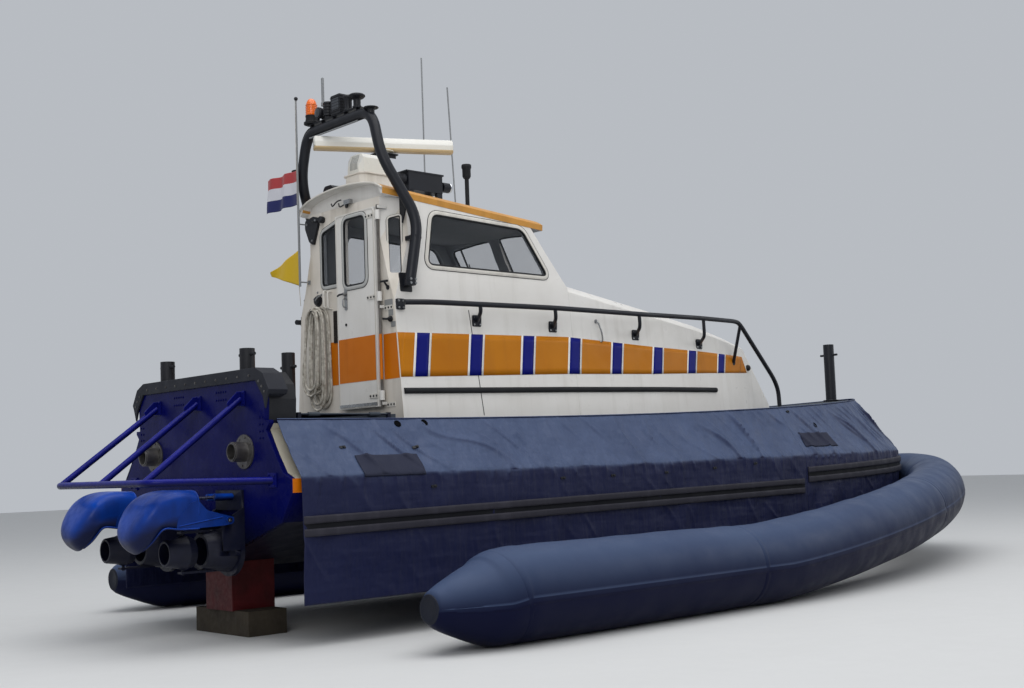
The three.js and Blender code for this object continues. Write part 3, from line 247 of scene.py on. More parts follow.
coverCloth = dict(patch=(0.7, 2.2), grain=(0.0006, 300), ripple=(0.011, 6.0), weave=0.0002,
                  crease=(0.045, 5.5, 38.0), shine=0.25)
flagCloth = dict(rough=0.8, weave=0.0002, sheen=0.1)
looks = {
    # name: colour, worn colour, and what differs from the values in finish
    # cover and coverBow: painted shade darkens them below the knee and on faces that look down
    "cover": ((66, 79, 108), (52, 64, 92), dict(
        coverCloth, rough=0.56, streak=(0.25, (84, 92, 118)), low=(1.16, 0.05, (17, 23, 58)),
        underShade=((17, 23, 58), 0.06, 0.46))),
    "coverBow": ((68, 81, 110), (54, 66, 94), dict(
        coverCloth, rough=0.54, streak=(0.25, (86, 94, 120)), low=(1.2, 0.05, (18, 24, 60)),
        underShade=((18, 24, 60), 0.06, 0.46))),
    # painted shade darkens the faces of the pads that look down
    "coverPatch": ((42, 45, 62), (34, 37, 52), dict(
        rough=0.8, grain=(0.0012, 420), underShade=((20, 23, 40), 0.06, 0.46), shine=0.2)),
    # painted shade darkens the underside of the tube
    "tube": ((64, 78, 106), (54, 66, 94), dict(
        patch=(0.6, 1.1), rough=0.5, grain=(0.0004, 260), ripple=(0.004, 3.0),
        streak=(0.15, (84, 92, 118)), underShade=((6, 11, 42), -0.12, 0.84), shine=0.1)),
    "tubeDark": ((26, 29, 40), (18, 20, 30), dict(rough=0.65, grain=0.0006, shine=0.2)),
    "strake": ((42, 41, 50), (32, 31, 39), dict(
        rough=0.65, streak=(0.3, (76, 74, 84)), grain=0.0005, shine=0.25)),
    "strakeGap": ((16, 17, 22), (24, 25, 31), dict(rough=0.75, grain=0.0005, shine=0.2)),
    "hullDark": ((14, 17, 36), (9, 11, 24), dict(
        patch=0.6, rough=0.42, streak=(0.3, (28, 30, 42)), grain=0.0003)),
    "deck": ((62, 68, 76), (50, 56, 64), dict(rough=0.75, grain=(0.0012, 240))),
    "cream": ((202, 197, 182), (160, 151, 132), dict(patch=0.7, rough=0.45, streak=0.5)),
    # painted shade darkens the transom low down, behind the buckets
    "transomBlue": ((7, 11, 78), (4, 7, 50), dict(
        patch=(0.5, 3.0), rough=0.3, streak=(0.25, (20, 26, 92)), ripple=(0.002, 5.0), shine=0.08,
        low=(1.02, 0.3, (6, 9, 24)))),
    # painted shade darkens the undersides of the guard
    "guardBlue": ((11, 19, 122), (8, 13, 90), dict(
        patch=(0.7, 6.0), rough=0.34, coat=0.05, grain=0.0003, underShade=((8, 12, 58), -0.5, 0.6),
        shine=0.12)),
    # painted shade darkens the faces of the buckets that look down
    "bucketBlue": ((4, 66, 168), (5, 38, 110), dict(
        patch=(0.8, 4.0), rough=0.4, coat=0.05, shine=0.2, streak=(0.4, (8, 16, 44)),
        ripple=(0.003, 9.0), underShade=((6, 18, 58), -0.5, 0.45))),
    "jetDark": ((8, 12, 36), (11, 13, 26), dict(patch=(0.8, 5.0), rough=0.48, ripple=(0.003, 12.0))),
    "capping": ((32, 34, 42), (24, 26, 33), dict(
        rough=0.68, streak=(0.35, (58, 61, 68)), grain=0.0006)),
    "bitt": ((20, 21, 26), (36, 37, 41), dict(patch=(0.6, 8), grain=0.0004)),
    "house": ((219, 216, 211), (205, 201, 194), dict(
        patch=(0.6, 2.5), rough=0.38, streak=(0.26, (168, 162, 150), 11.0), grain=0.0002)),
    # a warmer white with more grime streaks, also darker as painted shade for the aft wall, which faces
    # away from the light
    "houseGrimeShade": ((216, 209, 199), (194, 186, 173), dict(
        patch=(0.7, 2.5), rough=0.42, streak=(0.42, (150, 138, 122), 11.0), grain=0.0002)),
    "houseTrim": ((206, 202, 194), (176, 170, 158), dict(rough=0.42, streak=(0.4, (122, 114, 100)))),
    "orange": ((184, 114, 8), (168, 98, 5), dict(
        patch=0.7, rough=0.4, shine=0.15, streak=(0.3, (142, 92, 34)))),
    "orangeDeep": ((204, 112, 6), (184, 94, 3), dict(
        patch=0.7, rough=0.4, shine=0.15, streak=(0.35, (132, 72, 20)))),
    "bandBlue": ((6, 16, 110), (4, 12, 90), dict(rough=0.4, shine=0.12)),
    "bandWhite": ((228, 226, 222), (208, 205, 198), dict(rough=0.4)),
    "blackPaint": ((24, 26, 33), (17, 18, 24), dict(patch=0.5, rough=0.42, grain=0.0002)),
    "blackRubber": ((19, 20, 23), (28, 29, 32), dict(rough=0.7, grain=0.0005)),
    "sealGrey": ((138, 139, 138), (112, 112, 110), dict(rough=0.6)),
    "sealBlack": ((16, 17, 20), (26, 27, 30), dict(rough=0.6)),
    "sealPale": ((176, 176, 173), (150, 150, 147), dict(rough=0.55)),
    "recessBrown": ((40, 32, 28), (24, 20, 18), dict(patch=(0.8, 14), rough=0.7)),
    "steel": ((160, 162, 164), (120, 118, 114), dict(
        patch=(0.5, 9), rough=0.32, metal=1.0, grain=0.0002, streak=(0.25, (96, 88, 78)), shine=0.5)),
    "darkSteel": ((122, 120, 118), (66, 62, 60), dict(
        patch=(0.9, 7), rough=0.42, metal=0.8, grain=0.0003, streak=(0.5, (52, 46, 42)), shine=0.5)),
    "chrome": ((205, 207, 210), (180, 182, 186), dict(
        rough=0.16, roughSpread=0.05, metal=1.0, shine=0.5)),
    "glass": ((40, 46, 52), (34, 40, 46), dict(
        rough=0.05, roughSpread=0.02, alpha=0.12, coat=0.6, shine=0.5)),
    "timber": ((64, 57, 47), (42, 37, 30), dict(
        patch=(0.9, 5), rough=0.85, grain=(0.002, 60), streak=(0.5, (38, 31, 24)))),
    "keelRed": ((82, 18, 22), (50, 11, 14), dict(
        patch=(0.8, 7), rough=0.6, grain=(0.0008, 80), streak=(0.3, (44, 12, 13)))),
    "ochre": ((196, 140, 62), (166, 112, 48), dict(rough=0.42, streak=(0.4, (124, 86, 38)))),
    # painted shade turns the faces of the radar that look down beige
    "radar": ((222, 220, 213), (206, 202, 193), dict(
        rough=0.34, streak=(0.25, (166, 160, 146)), underShade=((196, 186, 160), -0.4, 0.1))),
    "radarBeige": ((194, 170, 130), (168, 142, 102), dict(rough=0.4)),
    "beacon": ((230, 108, 6), (206, 78, 3), dict(
        patch=(0.35, 40), rough=0.12, roughSpread=0.04, coat=0.8, ripple=(0.0015, 60))),
    "rope": ((204, 199, 188), (122, 112, 98), dict(patch=(0.9, 26), rough=0.85, grain=(0.003, 190))),
    "seat": ((24, 25, 28), (16, 17, 20), dict(rough=0.52, grain=(0.0008, 260))),
    "console": ((40, 42, 46), (33, 35, 39), dict(rough=0.6, grain=(0.0004, 500))),
    "liner": ((146, 149, 154), (124, 127, 132), dict(rough=0.8)),
    "whip": ((128, 130, 132), (104, 106, 108), dict(rough=0.4)),
    "grommet": ((6, 6, 8), (9, 9, 11), dict(rough=0.9, shine=0.05)),
    "lampGlass": ((50, 54, 60), (38, 42, 48), dict(rough=0.14, roughSpread=0.03, shine=0.5)),
    "rodGrey": ((104, 100, 96), (58, 54, 50), dict(patch=(0.8, 10), streak=(0.4, (70, 50, 36)))),
    "flagRed": ((164, 62, 64), (142, 50, 54), flagCloth),
    "flagWhite": ((200, 200, 206), (178, 178, 186), flagCloth),
    "flagBlue": ((34, 40, 92), (26, 30, 72), flagCloth),
    "pennant": ((206, 170, 26), (186, 148, 18), flagCloth),
    "floor": ((206, 206, 205), (202, 202, 201), dict(rough=0.8, shine=0.15)),
}
finishes = {name: finish(name, base, worn, **rest) for name, (base, worn, rest) in looks.items()}
studioFloor.data.materials.append(finishes["floor"])
print("finishes made", len(finishes))


# Shapes: each is (points, faces) in boat metres, closed unless it says otherwise

def unit(v):
    v = np.asarray(v, float)
    return v / np.linalg.norm(v, axis=-1, keepdims=True)


def runOf(path):
    # distance along a path at each of its points
    return np.concatenate([[0], np.cumsum(np.linalg.norm(np.diff(path, axis=0), axis=1))])


def turns(count, start=0.0):
    # equal angles round a circle
    return np.linspace(0, 2 * np.pi, count, endpoint=False) + start


def placesOn(path, run, at):
    return np.stack([np.interp(at, run, column) for column in np.asarray(path).T], 1)


def gridShape(points, wrapRows=False, wrapColumns=False, caps=False):
    # a grid of points as quads; wrap joins its last row or column to the first, and caps
    # closes both ends of the columns with a fan round their middle
    points = np.asarray(points, float)
    rows, columns = points.shape[:2]
    i = np.arange(rows if wrapRows else rows - 1)
    j = np.arange(columns if wrapColumns else columns - 1)
    i, j = (a.ravel() for a in np.meshgrid(i, j, indexing="ij"))
    nextI, nextJ = (i + 1) % rows, (j + 1) % columns
    faces = np.stack([i * columns + j, nextI * columns + j, nextI * columns + nextJ,
                      i * columns + nextJ], 1).tolist()
    flat = points.reshape(-1, 3)
    if caps:
        ring = np.arange(columns)
        after = (ring + 1) % columns
        for row, ends in ((0, (ring, after)), (rows - 1, (after, ring))):
            fan = [np.full(columns, len(flat)), row * columns + ends[0], row * columns + ends[1]]
            faces += np.stack(fan, 1).tolist()
            flat = np.vstack([flat, points[row].mean(0)])
    return flat, faces


def joined(shapes):
    # one shape out of a list of them
    if isinstance(shapes, tuple):
        return shapes
    points, faces, start = [], [], 0
    for flat, made in shapes:
        points.append(flat)
        faces += [[start + k for k in face] for face in made]
        start += len(flat)
    return np.vstack(points), faces


def mirrored(shape):
    # the same shape on the other side of the centreline, faces turned so that they stay outwards
    points, faces = joined(shape)
    return points * np.array([1.0, -1.0, 1.0]), [face[::-1] for face in faces]


def moved(shape, by):
    points, faces = joined(shape)
    return points + np.array(by), faces


def outwards(shape):
    # faces turned so that the volume they enclose is positive
    points, faces = shape
    fan = np.array([[face[0], face[k], face[k + 1]] for face in faces for k in range(1, len(face) - 1)])
    a, b, c = (points[fan[:, k]] for k in range(3))
    volume = (a * np.cross(b, c)).sum()
    return (points, faces) if volume >= 0 else (points, [face[::-1] for face in faces])


def closedTube(points):
    return outwards(gridShape(points, wrapColumns=True, caps=True))


def roundPath(corners, bend=0.05, steps=6):
    # straight runs joined by quadratic curves that start bend metres before each corner
    corners = np.asarray(corners, float)
    out = [corners[:1]]
    t = np.linspace(0, 1, steps + 1)[:, None]
    for before, here, after in zip(corners[:-2], corners[1:-1], corners[2:]):
        start, end = (here + unit(v) * min(bend, 0.45 * np.linalg.norm(v))
                      for v in (before - here, after - here))
        out.append((1 - t) ** 2 * start + 2 * t * (1 - t) * here + t ** 2 * end)
    return np.vstack(out + [corners[-1:]])


def frames(path, up=upward):
    # tangent by central differences, side square to it and to up, over square to both
    way = unit(np.gradient(np.asarray(path, float), axis=0))
    side = unit(np.cross(way, np.asarray(up, float)))
    return way, side, np.cross(side, way)


def ringOn(path, angle, up=upward, flatten=1.0):
    # a circle of one metre square to the path at each of its points
    _, side, over = frames(path, up)
    cos, sin = np.cos(angle)[..., None], np.sin(angle)[..., None]
    return cos * side[:, None] + flatten * sin * over[:, None]


def sweep(path, radius, sides=20, up=upward, flatten=1.0):
    # a circle carried square to the path
    path = np.asarray(path, float)
    return closedTube(path[:, None] + radius * ringOn(path, turns(sides), up, flatten))


def bentTube(corners, bend, steps, radius, sides=12, up=upward):
    return sweep(roundPath(corners, bend, steps), radius, sides, up)


def straightTube(start, end, count, radius, sides=12, up=upward, flatten=1.0):
    return sweep(np.linspace(start, end, count), radius, sides, up, flatten)


def carry(path, profile, up=upward):
    # a profile of (side, over) pairs carried along a path, square to it
    _, side, over = frames(path, up)
    profile = np.asarray(profile, float)[None]
    return closedTube(np.asarray(path, float)[:, None] + profile[..., :1] * side[:, None]
                      + profile[..., 1:] * over[:, None])


def closedCarry(path, profile, out):
    # a profile of (inward, outward) pairs carried round a closed path, square to it; out is the
    # direction that counts as outward
    way = unit(np.roll(path, -1, axis=0) - np.roll(path, 1, axis=0))
    out = unit(np.broadcast_to(np.asarray(out, float), path.shape))
    side = unit(np.cross(out, way))
    if ((side * (path.mean(0) - path)).sum(1)).mean() < 0:
        side = -side
    profile = np.asarray(profile, float)[None]
    points = path[:, None] + profile[..., :1] * side[:, None] + profile[..., 1:] * out[:, None]
    return outwards(gridShape(points, wrapRows=True, wrapColumns=True))


def lathe(profile, centre, axis=upward, sides=32):
    # a profile of (radius, height) pairs turned about an axis through centre
    axis = unit(axis)
    side = unit(np.cross(axis, fore if abs(axis[0]) < 0.8 else toPort))
    over = np.cross(axis, side)
    profile = np.asarray(profile, float)
    angle = turns(sides)
    ring = np.cos(angle)[:, None] * side + np.sin(angle)[:, None] * over
    return closedTube(np.asarray(centre, float) + profile[:, None, :1] * ring[None]
                      + profile[:, None, 1:] * axis)


def disc(radius, low, high):
    # profile of a plain disc
    return [(0, low), (radius, low), (radius, high), (0, high)]


def slab(outline, origin, across, above, depth):
    # a flat outline on two directions, given a depth along their cross product
    across, above = unit(across), unit(above)
    outline = np.asarray(outline, float)
    face = np.asarray(origin, float) + outline[:, :1] * across + outline[:, 1:] * above
    count = len(face)
    ring = np.arange(count)
    after = (ring + 1) % count
    walls = np.stack([ring, after, after + count, ring + count], 1).tolist()
    points = np.vstack([face, face + np.cross(across, above) * depth])
    return outwards((points, [ring[::-1].tolist(), (ring + count).tolist()] + walls))


def aftSlab(outline, x, depth):
    # an outline of (Y, Z) pairs at one station; a negative depth lies aft of it
    return slab(outline, (x, 0, 0), toPort, upward, depth)


def levelSlab(outline, z, depth):
    return slab(outline, (0, 0, z), fore, toPort, depth)


def sideSlab(outline, y, depth):
    # an outline of (X, Z) pairs; a negative depth lies to port of it
    return slab(outline, (0, y, 0), fore, upward, depth)


def block(low, high):
    # a box between two corners
    size = np.subtract(high, low)
    return slab(rectangle((0, 0), size[:2]), low, fore, toPort, size[2])


def roundedOutline(corners, radius, steps=5):
    # each corner of a flat outline replaced by a quadratic curve
    corners = np.asarray(corners, float)
    t = np.linspace(0, 1, steps + 1)[:, None]
    before, after = (unit(np.roll(corners, by, axis=0) - corners)[:, None] for by in (1, -1))
    return (corners[:, None] + radius * ((1 - t) ** 2 * before + t ** 2 * after)).reshape(-1, 2)


def rectangle(low, high, radius=0):
    (x0, y0), (x1, y1) = low, high
    corners = [(x0, y0), (x1, y0), (x1, y1), (x0, y1)]
    return roundedOutline(corners, radius) if radius else corners


def boltHead(place, way, radius=0.007, height=0.006):
    # a washer under a six-sided head with a domed top
    profile = [(0, 0), (1.55, 0), (1.55, 0.22), (1.0, 0.24), (1.0, 0.9), (0.7, 1.0), (0, 1.0)]
    return lathe(np.array(profile) * (radius, height), place, way, 6)


def boltRow(places, way, radius=0.007, height=0.006):
    return joined([boltHead(place, way, radius, height) for place in places])


def addPiece(name, shape, node, look, slot=None, smooth=38, bevel=0.0, segments=2, angle=32,
             wall=0.0, offset=1.0, subdivide=0, replaces=False):
    # a shape, a list of shapes or a ready mesh gets its finish and rides on the body of a CAD
    # node, in whose place it stands if it replaces it
    mesh = shape
    if isinstance(shape, (tuple, list)):
        points, faces = moved(shape, (sternX, 0, 0))
        mesh = bpy.data.meshes.new(name)
        mesh.from_pydata(points.tolist(), [], faces)
    mesh.polygons.foreach_set("use_smooth", np.full(len(mesh.polygons), smooth > 0))
    if smooth:
        mesh.set_sharp_from_angle(angle=math.radians(smooth))
    mesh.materials.clear()
    mesh.materials.append(finishes[look])
    piece = bpy.data.objects.new(name, mesh)
    scene.collection.objects.link(piece)
    if wall:
        skin = piece.modifiers.new("wall", "SOLIDIFY")
        skin.thickness = wall
        skin.offset = offset
    if bevel:
        edge = piece.modifiers.new("edge", "BEVEL")
        edge.width = bevel
        edge.segments = segments
        edge.limit_method = "ANGLE"
        edge.angle_limit = math.radians(angle)
        edge.harden_normals = True
    if subdivide:
        finer = piece.modifiers.new("finer", "SUBSURF")
        finer.levels = finer.render_levels = subdivide
    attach(piece, bodyOf[node])
    if replaces:
        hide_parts(node)
    return piece


def addBoth(name, shape, node, look, made=-1, **values):
    # a shape and its mirror image; made is the side that the shape was worked out for
    for side, word in bothSides:
        own = node + word.lower() if node.endswith("_") else node
        addPiece(name + word, shape if side == made else mirrored(shape), own, look, **values)


def addFittings(fittings, node, **usual):
    # several pieces on one node; each has its finish, what addPiece is told, and rows of a maker
    # and what that is given
    for name, (look, values, rows) in fittings.items():
        shapes = [maker(*rest) for maker, *rest in rows]
        addPiece(name, shapes, node, look, **{**usual, **values})


def shellOf(node, look, bevel, angle=34):
    # a merged copy of a CAD node with its flat faces whole again and its edges softened
    mesh = frame["nodes"][node].data.copy()
    mesh.name = node + "Shell"
    work = bmesh.new()
    work.from_mesh(mesh)
    bmesh.ops.remove_doubles(work, verts=work.verts, dist=2e-5)
    flat = math.radians(0.6)
    bmesh.ops.dissolve_limit(work, angle_limit=flat, verts=work.verts, edges=work.edges)
    work.to_mesh(mesh)
    work.free()
    return addPiece(mesh.name, mesh, node, look, smooth=angle, bevel=bevel, angle=angle, replaces=True)


def paintFaces(piece, look, chosen):
    # the chosen faces get another finish; chosen is given the face centres in boat metres and
    # the normals, and returns a yes or no for each face
    mesh = piece.data
    count = len(mesh.polygons)
    centre, normal, index = np.empty(count * 3), np.empty(count * 3), np.empty(count, int)
    mesh.polygons.foreach_get("center", centre)
    mesh.polygons.foreach_get("normal", normal)
    mesh.polygons.foreach_get("material_index", index)
    centre = centre.reshape(-1, 3) - np.array([sternX, 0, 0])
    index[chosen(centre, normal.reshape(-1, 3))] = len(mesh.materials)
    mesh.materials.append(finishes[look])
    mesh.polygons.foreach_set("material_index", index)


def sway(x, y, scale, seed):
    # a slow smooth random value near -1 to 1: five sine waves in seeded directions
    maker = np.random.default_rng(seed)
    total = np.zeros(np.broadcast(x, y).shape)
    for _ in range(5):
        angle, phase = maker.uniform(0, 2 * np.pi, 2)
        rate = 2 * np.pi / scale * maker.uniform(0.6, 1.5)
        total = total + np.sin(rate * (x * np.cos(angle) + y * np.sin(angle)) + phase)
    return total / 3.0


# Rope hank on the aft wall

ropeLine = {
    "diameter": 0.0215, "centreY": 0.375, "top": 2.67, "layers": (1.416, 1.3915, 1.367, 1.3425),
    "offsets": (-0.04, 0.034, -0.012, 0.046), "bottoms": (1.85, 1.985, 1.83, 1.96), "rings": 2,
    "topInner": 0.066, "topPitch": 0.0225, "lowInner": 0.07, "lowPitch": 0.031, "bottomPitch": 0.05,
    "turnPoints": 96, "sides": 12, "step": 0.0052, "braidPitch": 0.026, "braidDepth": 0.085,
    "whipping": [(0, 0), (0.0105, 0), (0.011, 0.004), (0.011, 0.036), (0.0105, 0.04), (0, 0.04)],
}


def hankLoop(values, ring, bottom, count):
    # an upright loop: a half circle over the fitting, two runs down and a wider half circle below
    topHalf = values["topInner"] + values["topPitch"] * ring
    lowHalf = values["lowInner"] + values["lowPitch"] * ring
    topCentre = values["top"] - values["topPitch"] * (values["rings"] - ring) - topHalf
    lowTall = lowHalf * 1.25
    lowCentre = bottom - values["bottomPitch"] * ring + lowTall
    arc = np.linspace(0, np.pi / 2, 14)
    above = np.stack([topHalf * np.sin(arc), topCentre + topHalf * np.cos(arc)], 1)
    below = np.stack([lowHalf * np.cos(arc), lowCentre - lowTall * np.sin(arc)], 1)
    share = np.linspace(0, 1, 16)[1:-1, None]
    bow = np.sin(np.pi * share) * np.array([[0.006, 0]])
    run = above[-1] + (below[0] - above[-1]) * share ** 1.15 + bow
    half = np.vstack([above, run, below])
    loop = np.vstack([half, (half[:-1] * [-1, 1])[::-1]])
    length = runOf(loop)
    return placesOn(loop, length, np.linspace(0, length[-1], count))


def ropePath(values):
    # the rope winds outwards through its rings in one layer and inwards in the next; between
    # layers it moves over by a layer's depth in the first third of a turn
    count, rings = values["turnPoints"], values["rings"]
    place, share = np.arange(count), np.linspace(0, 1, count, endpoint=False)
    ease = np.clip(share / 0.33, 0, 1)
    grids = [np.stack([hankLoop(values, ring, bottom, count + 1)[:-1] for ring in range(rings + 1)])
             for bottom in values["bottoms"]]
    pieces = []
    for layer, (depth, offset, grid) in enumerate(zip(values["layers"], values["offsets"], grids)):
        for turn in range(rings):
            ring = (turn + share) if layer % 2 == 0 else (rings - turn - share)
            lower = np.clip(np.floor(ring).astype(int), 0, rings - 1)
            mix = (ring - lower)[:, None]
            flat = grid[lower, place] * (1 - mix) + grid[lower + 1, place] * mix
            x, shift = np.full(count, depth), np.full(count, offset)
            if turn == 0 and layer > 0:
                last, old = values["offsets"][layer - 1], grids[layer - 1]
                x = depth + (values["layers"][layer - 1] - depth) * (1 - ease)
                old = old[lower, place] * (1 - mix) + old[lower + 1, place] * mix
                flat = old * (1 - ease[:, None]) + flat * ease[:, None]
                shift = last + (shift - last) * ease
            hang = np.clip((values["top"] - flat[:, 1]) / 0.7, 0, 1)
            lean = shift * (0.35 + 0.65 * hang) + 0.01 * np.sin(hang * 2.6 + layer * 1.9) * hang
            pieces.append(np.stack([x, values["centreY"] + flat[:, 0] + lean, flat[:, 1]], 1))
    path = np.vstack(pieces)
    for _ in range(6):
        path[1:-1] = 0.25 * path[:-2] + 0.5 * path[1:-1] + 0.25 * path[2:]
    return path


def evenPath(path, step):
    run = runOf(path)
    at = np.linspace(0, run[-1], int(run[-1] / step) + 1)
    return placesOn(path, run, at), at


def braidShape(path, run, values):
    # a circle whose radius rises and falls with the product of a left and a right helix
    a, t = np.meshgrid(turns(values["sides"]), 2 * np.pi * run / values["braidPitch"])
    radius = values["diameter"] / 2 * (1.0 + values["braidDepth"] * np.cos(t + 2 * a) * np.cos(t - 2 * a))
    return closedTube(path[:, None] + radius[..., None] * ringOn(path, a, fore))


ropePoints, ropeRun = evenPath(ropePath(ropeLine), ropeLine["step"])
rope = addPiece("ropeHank", braidShape(ropePoints, ropeRun, ropeLine), "rope_hank", "rope", smooth=60,
                replaces=True)
whipping = lathe(ropeLine["whipping"], ropePoints[-1], ropePoints[-1] - ropePoints[-6], 16)
whipping = addPiece("ropeWhipping", whipping, "rope_hank", "blackRubber")
ropePoints = ropePoints + np.array([sternX, 0, 0])
print("rope made", round(float(ropeRun[-1]), 2))


# Hull and house lines that several pieces share

hullLine = {
    "deck": 1.618, "deckRise": 0.262, "stem": 8.9, "fullTo": 5.0, "houseHalf": 0.775,
    "houseFoot": 1.62, "taperFrom": 4.0, "taper": 0.056,
    "cabinStations": (0.0, 3.46, 4.7, 5.45, 6.0, 6.4, 7.0),
}
lean = 0.085  # metres that the house's walls lean in for each metre up


def planCurve(half, tip, x):
    # half width that stays full at first and closes to nothing at the tip
    start = hullLine["fullTo"]
    share = np.clip((np.asarray(x, float) - start) / (tip - start), 0, 1)
    return half * (1 - share ** 2.2) ** 0.75


def sheerZ(x):
    return hullLine["deck"] + hullLine["deckRise"] * (np.maximum(x, 0) / hullLine["stem"]) ** 2.6


def houseHalf(x, z):
    # half width of the house: it leans in with height and closes slowly towards the bow
    narrow = hullLine["taper"] * np.maximum(0, x - hullLine["taperFrom"]) ** 2
    return hullLine["houseHalf"] - lean * (z - hullLine["houseFoot"]) - narrow


def sideHalf(x, z):
    # the same, straight between the stations of the fore cabin
    stations = np.array(hullLine["cabinStations"])
    widths = houseHalf(stations, hullLine["houseFoot"])
    return np.interp(x, stations, widths) - lean * (z - hullLine["houseFoot"])


# Rigid pieces that keep their CAD shape

shells = [
    # finish, bevel in metres, nodes
    ("hullDark", 0.006, "hull"),
    ("transomBlue", 0.004, "transom"),
    ("capping", 0.008, "transom_capping"),
    ("bitt", 0.006, "bulwark tow_post"),
    ("deck", 0.005, "hatch_stbd hatch_port"),
    ("jetDark", 0.004, "jet_housing_stbd jet_housing_port"),
    ("jetDark", 0.003, "jet_nozzle_stbd jet_nozzle_port"),
    ("darkSteel", 0.003, "exhaust_stbd exhaust_port"),
    ("timber", 0.008, "cradle_aft cradle_mid cradle_fore"),
    ("house", 0.006, "wheelhouse"),
    ("house", 0.008, "fore_cabin"),
    ("house", 0.005, "door"),
    ("console", 0.01, "helm_console"),
    ("blackPaint", 0.004, "seat_frame"),
    ("blackPaint", 0.006, "bow_post roof_box"),
    ("radar", 0.01, "radar_pedestal"),
    ("whip", 0.002, "whip_mid whip_fore"),
]
shellPieces = {node: shellOf(node, look, bevel) for look, bevel, nodes in shells for node in nodes.split()}
for node, source in frame["nodes"].items():
    if "glass" in node or node.startswith("engine"):
        source.data.materials.clear()
        source.data.materials.append(finishes["glass" if "glass" in node else "darkSteel"])


def outside(c, n):
    return np.abs(n[:, 1]) > 0.3


def betweenHeights(low, high):
    return lambda c, n: outside(c, n) & (c[:, 2] > low) & (c[:, 2] < high)


def inward(middle):
    return lambda c, n: ((c - np.array(middle)) * n).sum(1) < -0.05


paint = [
    # nodes, finish, faces
    ("hull", "transomBlue", betweenHeights(0.9, 1.19)),
    ("hull", "cream", betweenHeights(1.19, 1.62)),
    ("hull", "deck", lambda c, n: (n[:, 2] > 0.2) & (c[:, 2] > 1.5)),
    # painted shade with grime: the faces of the house that look aft take the warmer, darker white
    ("wheelhouse", "houseGrimeShade", lambda c, n: (n[:, 0] < -0.5) & (c[:, 0] < 1.7)),
    ("wheelhouse", "rodGrey", lambda c, n: np.hypot(c[:, 0] - 1.392, c[:, 1] + 0.54) < 0.016),
    ("wheelhouse", "liner", inward((2.35, 0.0, 2.6))),
    ("fore_cabin", "liner", inward((4.6, 0.0, 2.0))),
    ("cradle_aft", "keelRed", lambda c, n: c[:, 2] > 0.195),
    ("cradle_mid cradle_fore", "keelRed", lambda c, n: (c[:, 2] > 0.195) & (np.abs(c[:, 1]) < 0.3)),
    ("jet_housing_stbd jet_housing_port", "bucketBlue",
     lambda c, n: (c[:, 2] > 1.035) & (c[:, 0] < -0.024)),
]
for nodes, look, chosen in paint:
    for node in nodes.split():
        paintFaces(shellPieces[node], look, chosen)
flangeMark = sideSlab(rectangle((0.0, 1.09), (0.1, 1.19)), -1.3312, -0.001)
addBoth("flangeMark", flangeMark, "hull", "orangeDeep", smooth=0)
print("shells made and painted", len(shellPieces))


# Collar tube, laid round the hull

tubeLine = {
    "radius": 0.335, "half": 2.4, "bend": 3.87, "bowX": 10.1486, "rise": 0.526, "along": 1.22,
    "across": 1.26,
    "start": (0.337, 0.424),  # starboard, port
    "tailZ": 0.305, "sides": 84, "step": 0.035,
    "seamAngle": -3.0,  # degrees below level on the outer side
    "seamWidth": 0.045, "ringSeams": (3.55, 7.4, 9.4), "ringWidth": 0.036, "seamHeight": 0.0025,
    # distance from the end, and radius there
    "tail": [(0, 0.095), (0.03, 0.122), (0.12, 0.166), (0.3, 0.238), (0.48, 0.303), (0.6, 0.329),
             (0.72, 0.335)],
    "disc": [(0, 0.003), (0.07, 0.003), (0.074, 0.006), (0.084, 0.008), (0.098, 0.002),
             (0.102, -0.006), (0.098, -0.03), (0, -0.03)],
}


def tubeSpine(values):
    # two straight legs joined by a bow curve: x = bend + length cos^along, y = half sin^across
    angle = np.linspace(-np.pi / 2, np.pi / 2, 400)
    reach = values["bowX"] - values["bend"]
    x = values["bend"] + reach * np.cos(angle).clip(0) ** values["along"]
    y = values["half"] * np.sign(angle) * np.abs(np.sin(angle)) ** values["across"]
    z = values["radius"] + values["rise"] * ((x - values["bend"]) / reach).clip(0) ** 1.12
    bow = np.stack([x, y, z], 1)
    legs = []
    for start, (side, _) in zip(values["start"], bothSides):
        legX = np.linspace(start, values["bend"] - 0.02, 90)
        legZ = np.interp(legX - start, [0, 0.48, 0.64],
                         [values["tailZ"], values["tailZ"], values["radius"]])
        legs.append(np.stack([legX, np.full(90, side * values["half"]), legZ], 1))
    line = np.vstack([legs[0], bow, legs[1][::-1]])
    return line, runOf(line)


